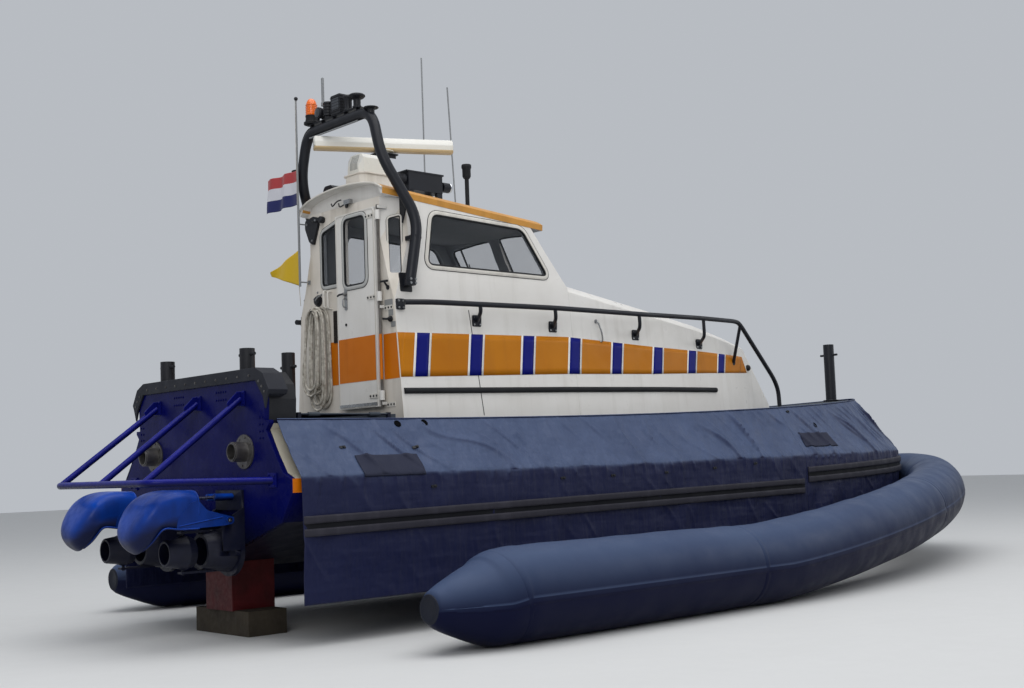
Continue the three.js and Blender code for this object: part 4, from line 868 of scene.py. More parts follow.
def tubeShape(values):
    # a circle carried along the spine; its radius narrows at both tails, swells a little between
    # the ring seams, and stands proud by the seam height on the seam strips
    line, run = tubeSpine(values)
    edge = values["ringWidth"] / 2
    rings = np.interp(values["ringSeams"], line[: len(line) // 2, 0], run[: len(line) // 2])
    rings = np.concatenate([rings, run[-1] - rings, [0.62, run[-1] - 0.62]])
    steps = np.linspace(0, run[-1], int(run[-1] / values["step"]))
    marks = (rings[:, None] + np.array([-edge - 0.003, -edge, edge, edge + 0.003])).ravel()
    along = np.unique(np.round(np.concatenate([steps, marks]), 4))
    path = placesOn(line, run, along)
    fromEnd = np.minimum(along, run[-1] - along)
    tail = np.interp(fromEnd, *np.array(values["tail"]).T)
    near = np.abs(along[:, None] - rings[None]).min(1)
    strip = near < edge + 0.001
    swell = 0.004 * np.clip(near / 0.5, 0, 1) - 0.006 * np.exp(-(near / 0.045) ** 2)
    seam = math.radians(values["seamAngle"])
    seamHalf = values["seamWidth"] / 2 / values["radius"]
    extra = seam + np.array([-seamHalf - 0.008, -seamHalf, seamHalf, seamHalf + 0.008])
    angle = turns(values["sides"])
    angle = np.mod(np.concatenate([angle, extra, np.pi - extra]), 2 * np.pi)
    angle = np.unique(np.round(angle, 5))
    outer, inner = (np.abs((angle - at + np.pi) % (2 * np.pi) - np.pi) < seamHalf + 0.001
                    for at in (seam, np.pi - seam))
    onSeam = (outer | inner)[None] & (fromEnd > 0.04)[:, None]
    a, t = np.meshgrid(angle, along)
    crease = 0.0035 * sway(t * 1.0, a * 0.35, 0.55, 5) * (np.cos(a) < 0) * (fromEnd[:, None] > 0.8)
    puff = 0.003 * sway(t, a * 0.35, 1.7, 9)
    radius = tail[:, None] * (1 - 0.006) + swell[:, None] + crease + puff
    radius = radius + values["seamHeight"] * (strip[:, None] | onSeam)
    points = path[:, None] + radius[..., None] * ringOn(path, a)
    points[..., 2] = np.maximum(points[..., 2], 0.0)
    return closedTube(points)


collarTube = addPiece("collarTube", tubeShape(tubeLine), "collar_tube", "tube", smooth=50, replaces=True)
for (side, word), start in zip(bothSides, tubeLine["start"]):
    centre = (start, side * tubeLine["half"], tubeLine["tailZ"])
    addPiece("tailDisc" + word, lathe(tubeLine["disc"], centre, aft, 40), "collar_tube", "tubeDark")
print("collar tube made")


# Cover: the emptied outer skin that hangs from the deck edge

coverLine = {
    # half width, and station of the tip
    "top": (1.0606, 8.99), "knee": (1.372, 9.825), "hem": (1.368, 9.8), "kneeZ": 1.2,
    "kneeRise": 0.045, "round": 0.024, "seamX": 6.1192, "aftX": 0.052, "hemZ": 0.3, "hemRise": 0.65,
    "thickness": 0.003, "foldDepth": 0.038, "minorDepth": 0.018, "lowerMinor": 0.011, "sag": 0.02,
    "lowerDepth": 0.014, "puckerDepth": 0.014, "calm": 0.16,
}
# shares of a section: -1 at the deck edge, 0 at the knee, 1 at the hem
coverShares = np.concatenate([np.linspace(-1, -0.12, 40), np.linspace(-0.1, 0.07, 18),
                              np.linspace(0.085, 1, 52)])


def coverPoints(values, knots, side, atBow):
    # each section is two straight runs, deck edge to knee and knee to hem, joined by a smooth
    # maximum so that the knee is round; knots are stations aft of the seam or shares of the bow
    def place(half, tip):
        x = values["seamX"] + (tip - values["seamX"]) * knots if atBow else knots
        return x, side * planCurve(half, tip, x)

    def positive(d):
        return ((d + np.sqrt(d * d + values["round"] ** 2)) / 2)[..., None]

    (tx, ty), (kx, ky), (hx, hy) = (place(*values[key]) for key in ("top", "knee", "hem"))
    kneeZ = values["kneeZ"] + values["kneeRise"] * np.maximum(0, (kx - 3.0) / (values["knee"][1] - 3.0))
    hemShare = np.maximum(0, (hx - values["seamX"]) / (values["hem"][1] - values["seamX"]))
    hemZ = values["hemZ"] + values["hemRise"] * hemShare ** 1.6
    lines = (tx, ty, sheerZ(tx) + 0.002), (kx, ky, kneeZ), (hx, hy, hemZ)
    top, knee, hem = (np.stack(line, 1) for line in lines)
    upLength, downLength = (np.linalg.norm(v - knee, axis=1)[:, None] for v in (top, hem))
    up, down = (unit(v - knee)[:, None] for v in (top, hem))
    share = coverShares[None]
    distance = np.where(share < 0, share * upLength, share * downLength)
    points = knee[:, None] + up * positive(-distance) + down * positive(distance)
    return points, runOf(knee), distance, upLength, downLength


def ridge(t):
    # narrow ridges at whole numbers: one less the sine, to the fourth power
    return (1 - np.abs(np.sin(np.pi * t))) ** 4


def coverFolds(values, run, distance, upLength, downLength, seed):
    # the upper panel sags between its edges and has ridges that lean forward on their way down;
    # the lower panel hangs in soft waves; short puckers cross the knee
    along = np.broadcast_to(run[:, None], distance.shape)
    upper = np.clip(-distance / upLength, 0, 1)
    lower = np.clip(distance / downLength, 0, 1)
    wander = sway(along, distance * 1.4, 1.9, seed)
    strength = np.clip(0.55 + 0.75 * sway(along, distance, 1.3, seed + 1), 0, 1.3)
    span = np.sin(np.pi * upper) ** 0.6
    fold = values["foldDepth"] * ridge((along - 0.5 * distance) / 0.6 + 0.35 * wander) * strength * span
    minor = np.clip(0.4 + 0.8 * sway(along, distance, 0.8, seed + 7), 0, 1.2)
    fold += values["minorDepth"] * ridge((along - 0.7 * distance) / 0.23 + 0.4 * wander) * minor * span
    sag = 0.7 + 0.5 * sway(along, distance * 0.4, 2.3, seed + 2)
    sag = -values["sag"] * np.sin(np.pi * upper) * sag
    hang = 2 * np.pi * (along + 0.55 * distance) / 0.62 + 1.8 * sway(along, distance, 1.5, seed + 3)
    drape = values["lowerDepth"] * np.sin(hang) * (0.4 + 0.6 * sway(along, distance, 1.1, seed + 4))
    drape += values["lowerMinor"] * ridge((along - 0.8 * distance) / 0.31 + 0.5 * wander) * minor
    drape = drape * np.sin(np.pi * np.clip(lower, 0, 0.93)) ** 0.7
    near = np.exp(-((distance - 0.03) / 0.085) ** 2) * (0.6 + 0.6 * strength)
    pucker = values["puckerDepth"] * (ridge(along / 0.155 + 0.6 * wander) - 0.3) * near
    return fold + sag + drape + pucker


def coverShape(values, knots, side, atBow, seed):
    points, run, *rest = coverPoints(values, knots, side, atBow)
    normal = unit(np.cross(np.gradient(points, axis=0), np.gradient(points, axis=1)))
    if (normal[..., 1].mean() > 0) != (side > 0):
        normal = -normal
    lift = coverFolds(values, run, *rest, seed)
    # the folds die out at the seam between the side and the bow, so that the two edges meet
    calm = np.clip((run if atBow else run[-1] - run) / values["calm"], 0, 1)
    lift *= (calm * calm * (3 - 2 * calm))[:, None]
    return points + normal * lift[..., None], normal


def areaOf(points):
    a, b, c, d = points[:-1, :-1], points[1:, :-1], points[1:, 1:], points[:-1, 1:]
    both = (np.linalg.norm(np.cross(*pair), axis=2).sum() for pair in ((b - a, c - a), (c - a, d - a)))
    return float(sum(both) / 2)


def coverPiece(name, points, node, look, flat):
    piece = addPiece(name, gridShape(points), node, look, smooth=70, wall=coverLine["thickness"],
                     offset=-1.0, replaces=True)
    area = min(areaOf(points), 0.999 * flat[0] * flat[1])


coverKnots = {
    "side": np.linspace(coverLine["aftX"], coverLine["seamX"], 420),
    "bow": 1 - (1 - np.linspace(0, 1, 230)) ** 1.35,
}
coverSeeds = {"side": (21, 33), "bow": (47, 59)}
coverGrids = {(side, where): coverShape(coverLine, coverKnots[where], side, where == "bow", seed)
              for where in coverKnots for (side, _), seed in zip(bothSides, coverSeeds[where])}
for side, word in bothSides:
    points = coverGrids[side, "side"][0][::side]
    coverPiece("cover" + word, points, "sleeve_" + word.lower(), "cover", (1.5, 6.2))
stbdBow, portBow = (coverGrids[side, "bow"][0] for side in (-1, 1))
meet = (stbdBow[-1] + portBow[-1]) / 2
meet[:, 1] = 0
points = np.concatenate([stbdBow[:-1], meet[None], portBow[:-1][::-1]])[::-1]
coverPiece("coverBow", points, "sleeve_bow", "coverBow", (1.5, 9.6))
print("cover made")


# Patches, holes and cleats on the cover, and a welt along its upper edge

coverMarks = {
    # station or share of the bow, from and to, then share of the section, from and to
    "pads": [("side", 0.585, 1.17, -0.36, 0.02), ("bow", 0.026, 0.235, -0.48, -0.15)],
    "holes": [("side", 1.11, -0.92), ("side", 1.37, -0.93), ("bow", 0.185, -0.62)],
    "cleats": [("side", 0.51, -0.52), ("side", 1.17, -0.46), ("side", 1.23, 0.12), ("side", 2.61, 0.1),
               ("side", 3.21, 0.1), ("side", 3.91, 0.1), ("side", 4.61, 0.08), ("side", 5.23, 0.06),
               ("bow", 0.05, -0.93)],
    "hole": [(0, -0.004), (0.031, -0.004), (0.031, 0.003), (0.02666, 0.005), (0.0248, 0.002), (0, 0.001)],
    "cleat": roundedOutline([(-0.026, -0.008), (0.026, -0.012), (0.03, 0.01), (-0.022, 0.012)], 0.006),
    "cleatDepth": 0.01,
    "button": [(0, 0), (0.01, 0), (0.009, 0.012), (0.005, 0.016), (0, 0.016)],
}


def coverSpot(side, where, at, share):
    # the cover's point, its outward direction and the way along it at one place
    points, normal = coverGrids[side, where]
    i = int(np.searchsorted(coverKnots[where], at))
    j = int(np.searchsorted(coverShares, share))
    out = normal[max(0, i - 3):i + 3, max(0, j - 2):j + 2].mean((0, 1))
    return points[i, j], unit(out), unit(points[i + 1, j] - points[i - 1, j])


for side, word in bothSides:
    pads, holes, cleats = [], [], []
    for where, start, end, low, high in coverMarks["pads"]:
        rows = slice(*np.searchsorted(coverKnots[where], (start, end)))
        columns = slice(*np.searchsorted(coverShares, (low, high)))
        points, normal = (grid[rows, columns] for grid in coverGrids[side, where])
        pads.append(gridShape(points + normal * 0.0042))
    for spot in coverMarks["holes"]:
        place, out, _ = coverSpot(side, *spot)
        holes.append(lathe(coverMarks["hole"], place, out, 24))
    for spot in coverMarks["cleats"]:
        place, out, way = coverSpot(side, *spot)
        down = np.cross(way, out)
        depth = math.copysign(coverMarks["cleatDepth"], np.dot(np.cross(way, down), out))
        cleats.append(slab(coverMarks["cleat"], place - out * 0.002, way, down, depth))
        cleats.append(lathe(coverMarks["button"], place + way * 0.008, out, 12))
    addPiece("coverPads" + word, pads, "sleeve_stbd", "coverPatch", smooth=70, wall=0.0022,
             offset=-1.0)
    addPiece("coverHoles" + word, holes, "sleeve_stbd", "grommet", smooth=36)
    addPiece("coverCleats" + word, cleats, "sleeve_stbd", "bitt", smooth=36)
    for where in coverKnots:
        points, normal = (grid[:, 0] for grid in coverGrids[side, where])
        welt = sweep(evenPath(points + normal * 0.001, 0.04)[0], 0.007, 8)
        addPiece("coverWelt" + where.capitalize() + word, welt, "sleeve_stbd", "cover", smooth=60)
print("cover dressed")


# Strakes: two ribs with a dark web between them, along the cover's lower edge

strakeLine = {
    "side": {"from": 0.056, "to": 6.07, "low": 0.775, "rise": 0.065, "riseEnd": 5.8, "height": 0.146},
    "bow": {"from": 6.15, "to": 9.825, "low": 0.945, "rise": 0.06, "height": 0.155, "spread": 0.02},
    "proud": 0.026, "inside": -0.012, "web": 0.01, "ribs": ((0.0, 0.38), (0.62, 1.0)),
    "webShares": (0.3, 0.7), "taper": 0.03,
}


def ribProfile(low, high, values):
    # a rib between two shares of the height with a rounded outer face
    proud, inside = values["proud"], values["inside"]
    edge = (high - low) * 0.16
    half = [(inside, low), (proud * 0.72, low), (proud * 0.94, low + edge * 0.6), (proud, low + edge * 1.6)]
    return half + [(out, low + high - at) for out, at in half[::-1]]


def bandShape(path, height, profile):
    # a profile of (outward, share of height) pairs carried along a low edge; both ends thin out
    _, side, _ = frames(path)
    run = runOf(path)
    ends = np.clip(np.minimum(run, run[-1] - run) / strakeLine["taper"], 0.25, 1.0)[:, None, None]
    profile = np.asarray(profile, float)[None]
    points = path[:, None] + profile[..., :1] * ends * side[:, None]
    points[..., 2] += profile[..., 1] * np.broadcast_to(height, len(path))[:, None]
    return closedTube(points)


def strakePiece(name, path, height, node):
    ribs = [bandShape(path, height, ribProfile(*shares, strakeLine)) for shares in strakeLine["ribs"]]
    (low, high), inside, web = strakeLine["webShares"], strakeLine["inside"], strakeLine["web"]
    web = bandShape(path, height, rectangle((inside, low), (web, high)))
    addPiece(name, ribs, node, "strake", smooth=50, replaces=True)
    addPiece(name + "Web", web, node, "strakeGap")


row = strakeLine["side"]
x = np.linspace(row["from"], row["to"], 120)
z = row["low"] + row["rise"] * np.minimum(1, x / row["riseEnd"])
for side, word in bothSides:
    path = np.stack([x, side * (planCurve(*coverLine["hem"], x) + 0.005), z], 1)[::-side]
    strakePiece("strake" + word, path, row["height"], "rub_band_" + word.lower())
row = strakeLine["bow"]
share = 1 - (1 - np.linspace(0, 1, 110)) ** 1.8
x = row["from"] + (row["to"] - row["from"]) * share
half = np.stack([x, -planCurve(*coverLine["knee"], x) - 0.004, row["low"] + row["rise"] * share], 1)
path = np.vstack([half, (half[:-1] * [1, -1, 1])[::-1]])
height = row["height"] + row["spread"] * share
strakePiece("strakeBow", path, np.concatenate([height, height[:-1][::-1]]), "rub_band_bow")
print("strakes made")


# Stern guard: a tube round the drives on three struts

guardLine = {
    "tube": 0.027, "strut": 0.0243,
    "corners": [(-0.0004, -1.075, 1.18), (-0.717, -0.79, 1.192), (-0.787, -0.746, 1.192),
                (-0.807, -0.69, 1.192)],
    "struts": ((-0.69, -0.655), (0.0, 0.0), (0.69, 0.655)),  # Y at the foot and at the head
    "head": (-0.0004, 1.79), "plate": -0.01,
    "gusset": [(0, -0.05), (0, 0.055), (-0.035, 0.05), (-0.115, -0.03), (-0.115, -0.05)],
    "endPlate": (-0.012, 1.13, 1.235),
    "headBolts": ((-0.045, -0.035), (0.045, -0.035), (-0.045, 0.045), (0.045, 0.045)),
    "endBolts": ((-0.038, 1.15), (0.038, 1.15), (-0.038, 1.216), (0.038, 1.216)),
    "bolt": (0.008, 0.007),
}


def guardShapes(values):
    # the tube runs from one side of the transom round to the other; each strut slopes down to it
    half = np.array(values["corners"])
    parts = [bentTube(np.vstack([half, (half * [1, -1, 1])[::-1]]), 0.07, 6, values["tube"], 24)]
    bolts = []
    x, z = values["head"]
    plate = values["plate"]
    for foot, head in values["struts"]:
        low = (half[3, 0], foot, half[3, 2])
        parts.append(straightTube(low, (x - 0.004, head, z), 12, values["strut"], 22))
        parts.append(block((plate, head - 0.06, z - 0.055), (x, head + 0.06, z + 0.06)))
        parts.append(slab(values["gusset"], (plate, head - 0.004, z), fore, upward, 0.008))
        bolts += [(plate, head + dy, z + dz) for dy, dz in values["headBolts"]]
    end, low, high = values["endPlate"]
    for side, _ in bothSides:
        y = side * -half[0, 1]
        parts.append(block((end, y - 0.055, low), (half[0, 0], y + 0.055, high)))
        bolts += [(end, y + dy, at) for dy, at in values["endBolts"]]
    return parts, boltRow(bolts, aft, *values["bolt"])


guardShape, guardBolts = guardShapes(guardLine)
addPiece("sternGuard", guardShape, "stern_guard", "guardBlue", smooth=42, bevel=0.002, segments=1,
         replaces=True)
addPiece("guardBolts", guardBolts, "stern_guard", "guardBlue", smooth=30)
print("stern guard made")


# Side rails: hand tube on feet along each side of the house

railLine = {
    "tube": 0.023, "foot": 0.017,
    "corners": [(1.45, 0.8, 2.585), (1.68, 0.852, 2.592), (3.11, 0.852, 2.619), (4.245, 0.84, 2.622),
                (5.2, 0.8, 2.634), (5.9, 0.69, 2.645), (6.0, 0.67, 2.63), (6.7, 0.56, 2.065),
                (6.79, 0.545, 1.94), (6.8, 0.545, 1.76)],
    # top of each foot, its plate along the boat and up, and the rail's offset there
    "feet": [(2.221, 2.3, 2.479, 0.852), (3.113, 3.212, 2.467, 0.852), (4.245, 4.341, 2.438, 0.84),
             (5.263, 5.4, 2.396, 0.79)],
    "footTop": 2.617, "bendFoot": (6.01, 0.668, 2.6, 2.235), "plateHalf": 0.05, "plateDepth": 0.012,
    "boltHalf": 0.033, "aftPlate": (1.44, 1.52, 2.535, 2.625), "aftBoltEdge": 0.016,
}


def railShapes(values):
    tube, bolts = [bentTube(values["corners"], 0.11, 8, values["tube"], 22)], []
    plates, out = [], (0, 1, lean)
    half, depth, bolt = (values[key] for key in ("plateHalf", "plateDepth", "boltHalf"))
    for top, x, z, y in values["feet"]:
        inner = float(sideHalf(x, z))
        leg = [(top, y, values["footTop"]), (top + 0.01, y - 0.004, z + 0.06), (x, inner + 0.014, z)]
        tube.append(bentTube(leg, 0.05, 6, values["foot"], 16))
        outline = rectangle((-half, -half), (half, half), 0.014)
        plates.append(slab(outline, (x, inner + 0.0006, z), fore, (0, lean, 1), -depth))
        places = [(x + dx, inner + depth - dz * lean, z + dz) for dz in (-bolt, bolt)
                  for dx in (-bolt, bolt)]
        bolts.append(boltRow(places, out, 0.006, 0.006))
    x, y, high, low = values["bendFoot"]
    x += 0.11
    inner = float(sideHalf(x, low))
    tube.append(straightTube((x - 0.11, y, high), (x, inner + 0.004, low), 8, values["foot"], 16))
    plates.append(lathe(disc(0.03, -0.004, 0.006), (x, inner + 0.002, low), toPort, 20))
    x0, x1, z0, z1 = values["aftPlate"]
    inner = float(sideHalf((x0 + x1) / 2, (z0 + z1) / 2))
    outline = rectangle((0, 0), (x1 - x0, z1 - z0), 0.012)
    plates.append(slab(outline, (x0, inner + 0.004, z0), fore, (0, -lean, 1), -0.022))
    edge = values["aftBoltEdge"]
    places = [(x, inner + 0.027 - lean * (z - z0), z) for z in (z0 + edge, z1 - edge)
              for x in (x0 + edge, x1 - edge)]
    bolts.append(boltRow(places, out, 0.007, 0.007))
    return tube + plates, bolts


railShape, railBolts = railShapes(railLine)
addBoth("rail", railShape, "side_rail_", "blackPaint", made=1, smooth=42, bevel=0.0015, segments=1,
        replaces=True)
addBoth("railBolts", railBolts, "side_rail_", "steel", made=1, smooth=30)
print("side rails made")


# Mast arch with its lamps

archLine = {
    "tube": 0.046,
    "leg": [(1.56, 0.742, 2.77), (1.66, 0.745, 3.3), (1.403, 0.6, 3.836), (1.403, 0.485, 4.245)],
    "bend": 0.16,
    "clamps": ((1.56, 2.735, 2.8), (1.632, 3.13, 3.165)),
    "shelf": ((1.37, -0.34, 4.272), (1.436, 0.45, 4.312)),
    "slats": 5,
}


def archShape(values):
    half = np.array(values["leg"])
    route = np.vstack([half * [1, -1, 1], half[::-1]])
    parts = [bentTube(route, values["bend"], 9, values["tube"], 28, up=(1, 0, 0.15))]
    for x, low, high in values["clamps"]:
        wall = float(sideHalf(x, (low + high) / 2))
        outline = roundedOutline([(-0.034, wall - 0.01), (0.034, wall - 0.01), (0.042, 0.745),
                                  (0.03, 0.786), (-0.03, 0.786), (-0.042, 0.745)], 0.01)
        foot = slab(outline, (x, 0, low), fore, toPort, high - low)
        parts += [mirrored(foot), foot]
    (x0, y0, z0), (x1, y1, z1) = values["shelf"]
    parts.append(levelSlab(rectangle((x0, y0), (x1, y1), 0.02), z1 - 0.008, 0.008))
    for y in np.linspace(y0 + 0.05, y1 - 0.05, values["slats"]):
        parts.append(block((x0 + 0.012, y - 0.005, z0 - 0.01), (x1 - 0.012, y + 0.005, z1 - 0.006)))
    return parts


addPiece("mastArch", archShape(archLine), "mast_arch", "blackPaint", smooth=42, bevel=0.002, segments=1,
         replaces=True)

archUp = (1, 0, 0.2)
wall = float(sideHalf(1.56, 2.77))
saddle = slab(rectangle((-0.062, 0), (0.062, 0.16), 0.014), (1.56, wall + 0.001, 2.69), fore,
              (0, -lean, 1), -0.012)
drumProfile = [(0, 0), (0.03, 0), (0.03, 0.02), (0.046, 0.024)]
for z in 0.026 * np.arange(4) + 0.03:
    drumProfile += [(0.046, z), (0.041, z + 0.004), (0.041, z + 0.016), (0.046, z + 0.02)]
drumProfile += [(0.046, 0.14), (0.04, 0.148), (0, 0.15)]
bendDisc = [(0, -0.02), (0.03, -0.02), (0.03, 0.02), (0.06, 0.026), (0.066, 0.032), (0.06, 0.038),
            (0, 0.04)]


def capProfile(top, wide):
    return [(0, 0), (0.04, 0), (0.04, 0.012), (0.032, 0.02), (0.032, top - 0.05),
            (wide * 0.8, top - 0.038), (wide, top - 0.024), (wide, top - 0.014),
            (wide * 0.82, top - 0.004), (0, top)]


archFittings = {
    "archFittings": ("bitt", dict(bevel=0.0012, segments=1), [
        # cylinder lamp that looks aft, on a stirrup
        (lathe, [(0, 0), (0.046, 0), (0.05, 0.004), (0.05, 0.03), (0.044, 0.036), (0.044, 0.052),
                 (0.05, 0.058), (0.05, 0.078), (0.042, 0.084), (0.03, 0.104), (0, 0.108)],
         (1.356, 0.25, 4.382), fore, 28),
        *((block, (1.394, y - 0.003, 4.312), (1.418, y + 0.003, 4.392)) for y in (0.196, 0.304)),
        (block, (1.394, 0.193, 4.312), (1.418, 0.307, 4.318)),
        # ribbed box with a visor
        (aftSlab, rectangle((-0.085, 4.314), (0.06, 4.484), 0.014), 1.366, 0.084),
        *((block, (1.362, -0.09, z - 0.003), (1.456, 0.065, z + 0.003))
          for z in np.linspace(4.339, 4.464, 6)),
        # two aerials with round caps, and a ribbed drum between the beacon and the box
        (lathe, capProfile(0.122, 0.072), (1.404, -0.28, 4.312), upward, 28),
        (lathe, capProfile(0.14, 0.048), (1.404, -0.153, 4.312), upward, 28),
        (lathe, drumProfile, (1.404, 0.15, 4.312), upward, 28),
        # discs on the bends, and saddle plates of the clamps
        *((lathe, bendDisc, at, upward, 28) for at in ((1.403, -0.478, 4.236), (1.405, 0.64, 3.905))),
        (joined, [mirrored(saddle), saddle]),
    ]),
    "archStub": ("whip", {}, [
        (lathe, [(0, 0), (0.018, 0), (0.018, 0.03), (0.013, 0.036), (0.013, 0.25), (0, 0.26)],
         (1.395, 0.215, 4.44), upward, 18)]),
    # bolts of the lamp and of the clamps
    "archMetal": ("steel", {}, [
        *((boltHead, (1.406, 0.25 + side * 0.057, 4.382), (0, side, 0), 0.008, 0.008)
          for side, _ in bothSides),
        *((boltRow, [(x, side * 0.7865, z) for x in (1.535, 1.585) for z in (2.752, 2.785)],
           (0, side, 0), 0.0075, 0.008) for side, _ in bothSides),
    ]),
    "archLenses": ("lampGlass", {}, [
        (lathe, [(0, 0), (0.04, 0), (0.04, 0.004), (0, 0.012)], (1.3558, 0.25, 4.382), aft, 28),
        (aftSlab, rectangle((-0.065, 4.354), (0.04, 4.454), 0.01), 1.363, 0.004),
    ]),
    "archCables": ("blackRubber", dict(smooth=60), [
        (bentTube, run, 0.06, 6, 0.0055, 10, archUp) for run in (
            [(1.4, 0.395, 4.3), (1.38, 0.47, 4.262), (1.37, 0.525, 4.18), (1.362, 0.563, 4.0),
             (1.362, 0.593, 3.87)],
            [(1.392, 0.44, 4.196), (1.388, 0.2, 4.192), (1.386, -0.02, 4.19),
             (1.388, -0.24, 4.193), (1.392, -0.43, 4.196)],
            [(1.396, -0.43, 4.196), (1.394, -0.488, 4.1), (1.39, -0.545, 3.86),
             (1.47, -0.64, 3.64), (1.6, -0.707, 3.34)])]),
    "archTube": ("whip", dict(smooth=60), [
        (bentTube, [(1.372, 0.4, 4.186), (1.368, 0.0, 4.184), (1.372, -0.33, 4.186)], 0.06, 6,
         0.0075, 10, archUp)]),
}
addFittings(archFittings, "mast_arch", smooth=36)

beaconAt = (1.403, 0.41, 4.3124)
beaconParts = {
    "beaconDome": ("beacon", dict(smooth=60, replaces=True), [
        (lathe, [(0, 0.084), (0.05, 0.084), (0.052, 0.09), (0.051, 0.13), (0.049, 0.17), (0.046, 0.196),
                 (0.038, 0.218), (0.026, 0.232), (0.012, 0.239), (0, 0.24)], beaconAt, upward, 40)]),
    "beaconFoot": ("blackRubber", {}, [
        (lathe, [(0, 0), (0.06, 0), (0.07, 0.004), (0.07, 0.022), (0.058, 0.03), (0.052, 0.06),
                 (0.055, 0.072), (0.056, 0.084), (0, 0.084)], beaconAt, upward, 40)]),
    "beaconRibs": ("beacon", dict(smooth=60), [
        (lathe, [(0.0515, z), (0.0535, z + 0.002), (0.0535, z + 0.005), (0.0515, z + 0.007)],
         beaconAt, upward, 40) for z in np.arange(0.096, 0.18, 0.016)]),
}
addFittings(beaconParts, "beacon")
print("arch and beacon made")


# Radar scanner

scannerLine = {
    "centre": (1.89, 0.0, 4.05), "turn": -26.0, "half": 0.625,
    # across and up, from the lower edge round
    "outline": [(-0.04, 0), (0.04, 0), (0.056, 0.014), (0.056, 0.07), (0.034, 0.12), (-0.034, 0.12),
                (-0.056, 0.07), (-0.056, 0.014)],
    "split": 0.026, "top": 0.12,
    # share of the half length, and share of the section there
    "ends": [(-1, 0.84), (-0.994, 0.95), (-0.985, 1.0), (0.985, 1.0), (0.994, 0.95), (1.0, 0.84)],
    "hub": [(0, -0.004), (0.085, -0.004), (0.09, -0.001), (0.09, 0.004), (0, 0.004)],
}


def scannerShape(values, low, high):
    # the part of the section between two heights, run along the bar; its ends pull in a little
    outline = roundedOutline(values["outline"], 0.007, 4)
    outline[:, 1] = outline[:, 1].clip(low, high)
    outline = outline[np.linalg.norm(outline - np.roll(outline, 1, axis=0), axis=1) > 1e-5]
    turn = math.radians(values["turn"])
    way = np.array([math.cos(turn), math.sin(turn), 0])
    across = np.array([-math.sin(turn), math.cos(turn), 0])
    ends, pull = np.array(values["ends"]).T[..., None, None]
    middle = np.array([0, (low + high) / 2])
    flat = middle + (outline - middle)[None] * pull
    return closedTube(np.array(values["centre"]) + ends * values["half"] * way + flat[..., :1] * across
                      + flat[..., 1:] * np.array(upward))


split, top = scannerLine["split"], scannerLine["top"]
addPiece("scannerShell", scannerShape(scannerLine, split, top), "radar_scanner", "radar", smooth=35,
         replaces=True)
addPiece("scannerEdge", scannerShape(scannerLine, 0, split), "radar_scanner", "radarBeige", smooth=35)
addPiece("scannerHub", lathe(scannerLine["hub"], scannerLine["centre"]), "radar_scanner", "radar")
print("radar made")


# Flags on the staff: cloth that hangs from its hoist and ripples towards its free end

flagLine = {
    "staff": (1.33, 0.545),
    "staffProfile": [(0, 2.872), (0.0105, 2.872), (0.01, 3.6), (0.008, 3.66), (0.007, 4.57), (0, 4.572)],
    "brackets": (2.913, 3.433),
    "ball": [(0, -0.018), (0.01, -0.016), (0.016, -0.008), (0.018, 0), (0.016, 0.008), (0.01, 0.015),
             (0, 0.018)],
    "ballZ": 4.572,
    "halyard": [(1.33, 0.558, 4.56), (1.328, 0.56, 4.0), (1.33, 0.56, 3.4), (1.332, 0.562, 2.86),
                (1.34, 0.556, 2.7)],
    "hoistY": 0.5594, "long": 0.5, "low": 3.61, "high": 3.92, "droop": 0.0055, "wave": 0.022,
    "waveLength": 0.26, "thickness": 0.0012, "rows": 36, "columns": 60,
}
pennantLine = {"long": 0.45, "low": (2.88, 3.02), "high": (3.2, 3.06), "wave": 0.016, "rows": 20,
               "columns": 46}


def flagShape(values):
    # u runs out from the hoist and v up; the free end drops with u squared, and the depth is a
    # sine of u that leans with v
    u, v = np.meshgrid(np.linspace(0, 1, values["columns"]), np.linspace(0, 1, values["rows"]))
    run = u * values["long"]
    phase = 2 * np.pi * (run / values["waveLength"] + 0.16 * v)
    depth = values["wave"] * np.sin(phase) * np.clip(u * 3, 0, 1) + 0.006 * sway(run * 4, v, 0.7, 3) * u
    z = values["low"] + v * (values["high"] - values["low"]) - values["droop"] * u ** 2
    return np.stack([values["staff"][0] + depth, values["hoistY"] + run * (1 - 0.02 * u), z], 2)


def pennantShape(values):
    # a long triangle with a blunt tip: both edges are straight from the hoist to the tip
    u, v = np.meshgrid(np.linspace(0, 1, values["columns"]), np.linspace(0, 1, values["rows"]))
    low, high = (start + (end - start) * u for start, end in (values["low"], values["high"]))
    depth = values["wave"] * np.sin(2 * np.pi * (u * 1.5 + 0.2 * v)) * u
    return np.stack([flagLine["staff"][0] + depth, flagLine["hoistY"] + u * values["long"],
                     low + (high - low) * v], 2)


x, y = flagLine["staff"]
parts = [lathe(flagLine["staffProfile"], (x, y, 0), upward, 14)]
for z in flagLine["brackets"]:
    parts.append(straightTube((x, y, z), (1.427, y, z), 4, 0.006, 10))
    parts.append(block((1.4245, y - 0.018, z - 0.018), (1.429, y + 0.018, z + 0.018)))
addPiece("flagstaffShell", parts, "flagstaff", "whip", smooth=40, replaces=True)
flag = addPiece("flagCloth", gridShape(flagShape(flagLine)), "flag", "flagBlue", smooth=70,
                wall=flagLine["thickness"], offset=0, replaces=True)
flag.data.materials.append(finishes["flagWhite"])
flag.data.materials.append(finishes["flagRed"])
rows, columns = flagLine["rows"] - 1, flagLine["columns"] - 1
flag.data.polygons.foreach_set("material_index", np.repeat(np.arange(rows) * 3 // rows, columns))
points = pennantShape(pennantLine)
pennant = addPiece("pennantCloth", gridShape(points), "pennant", "pennant", smooth=70,
                   wall=flagLine["thickness"], offset=0, replaces=True)
areaOf(points)
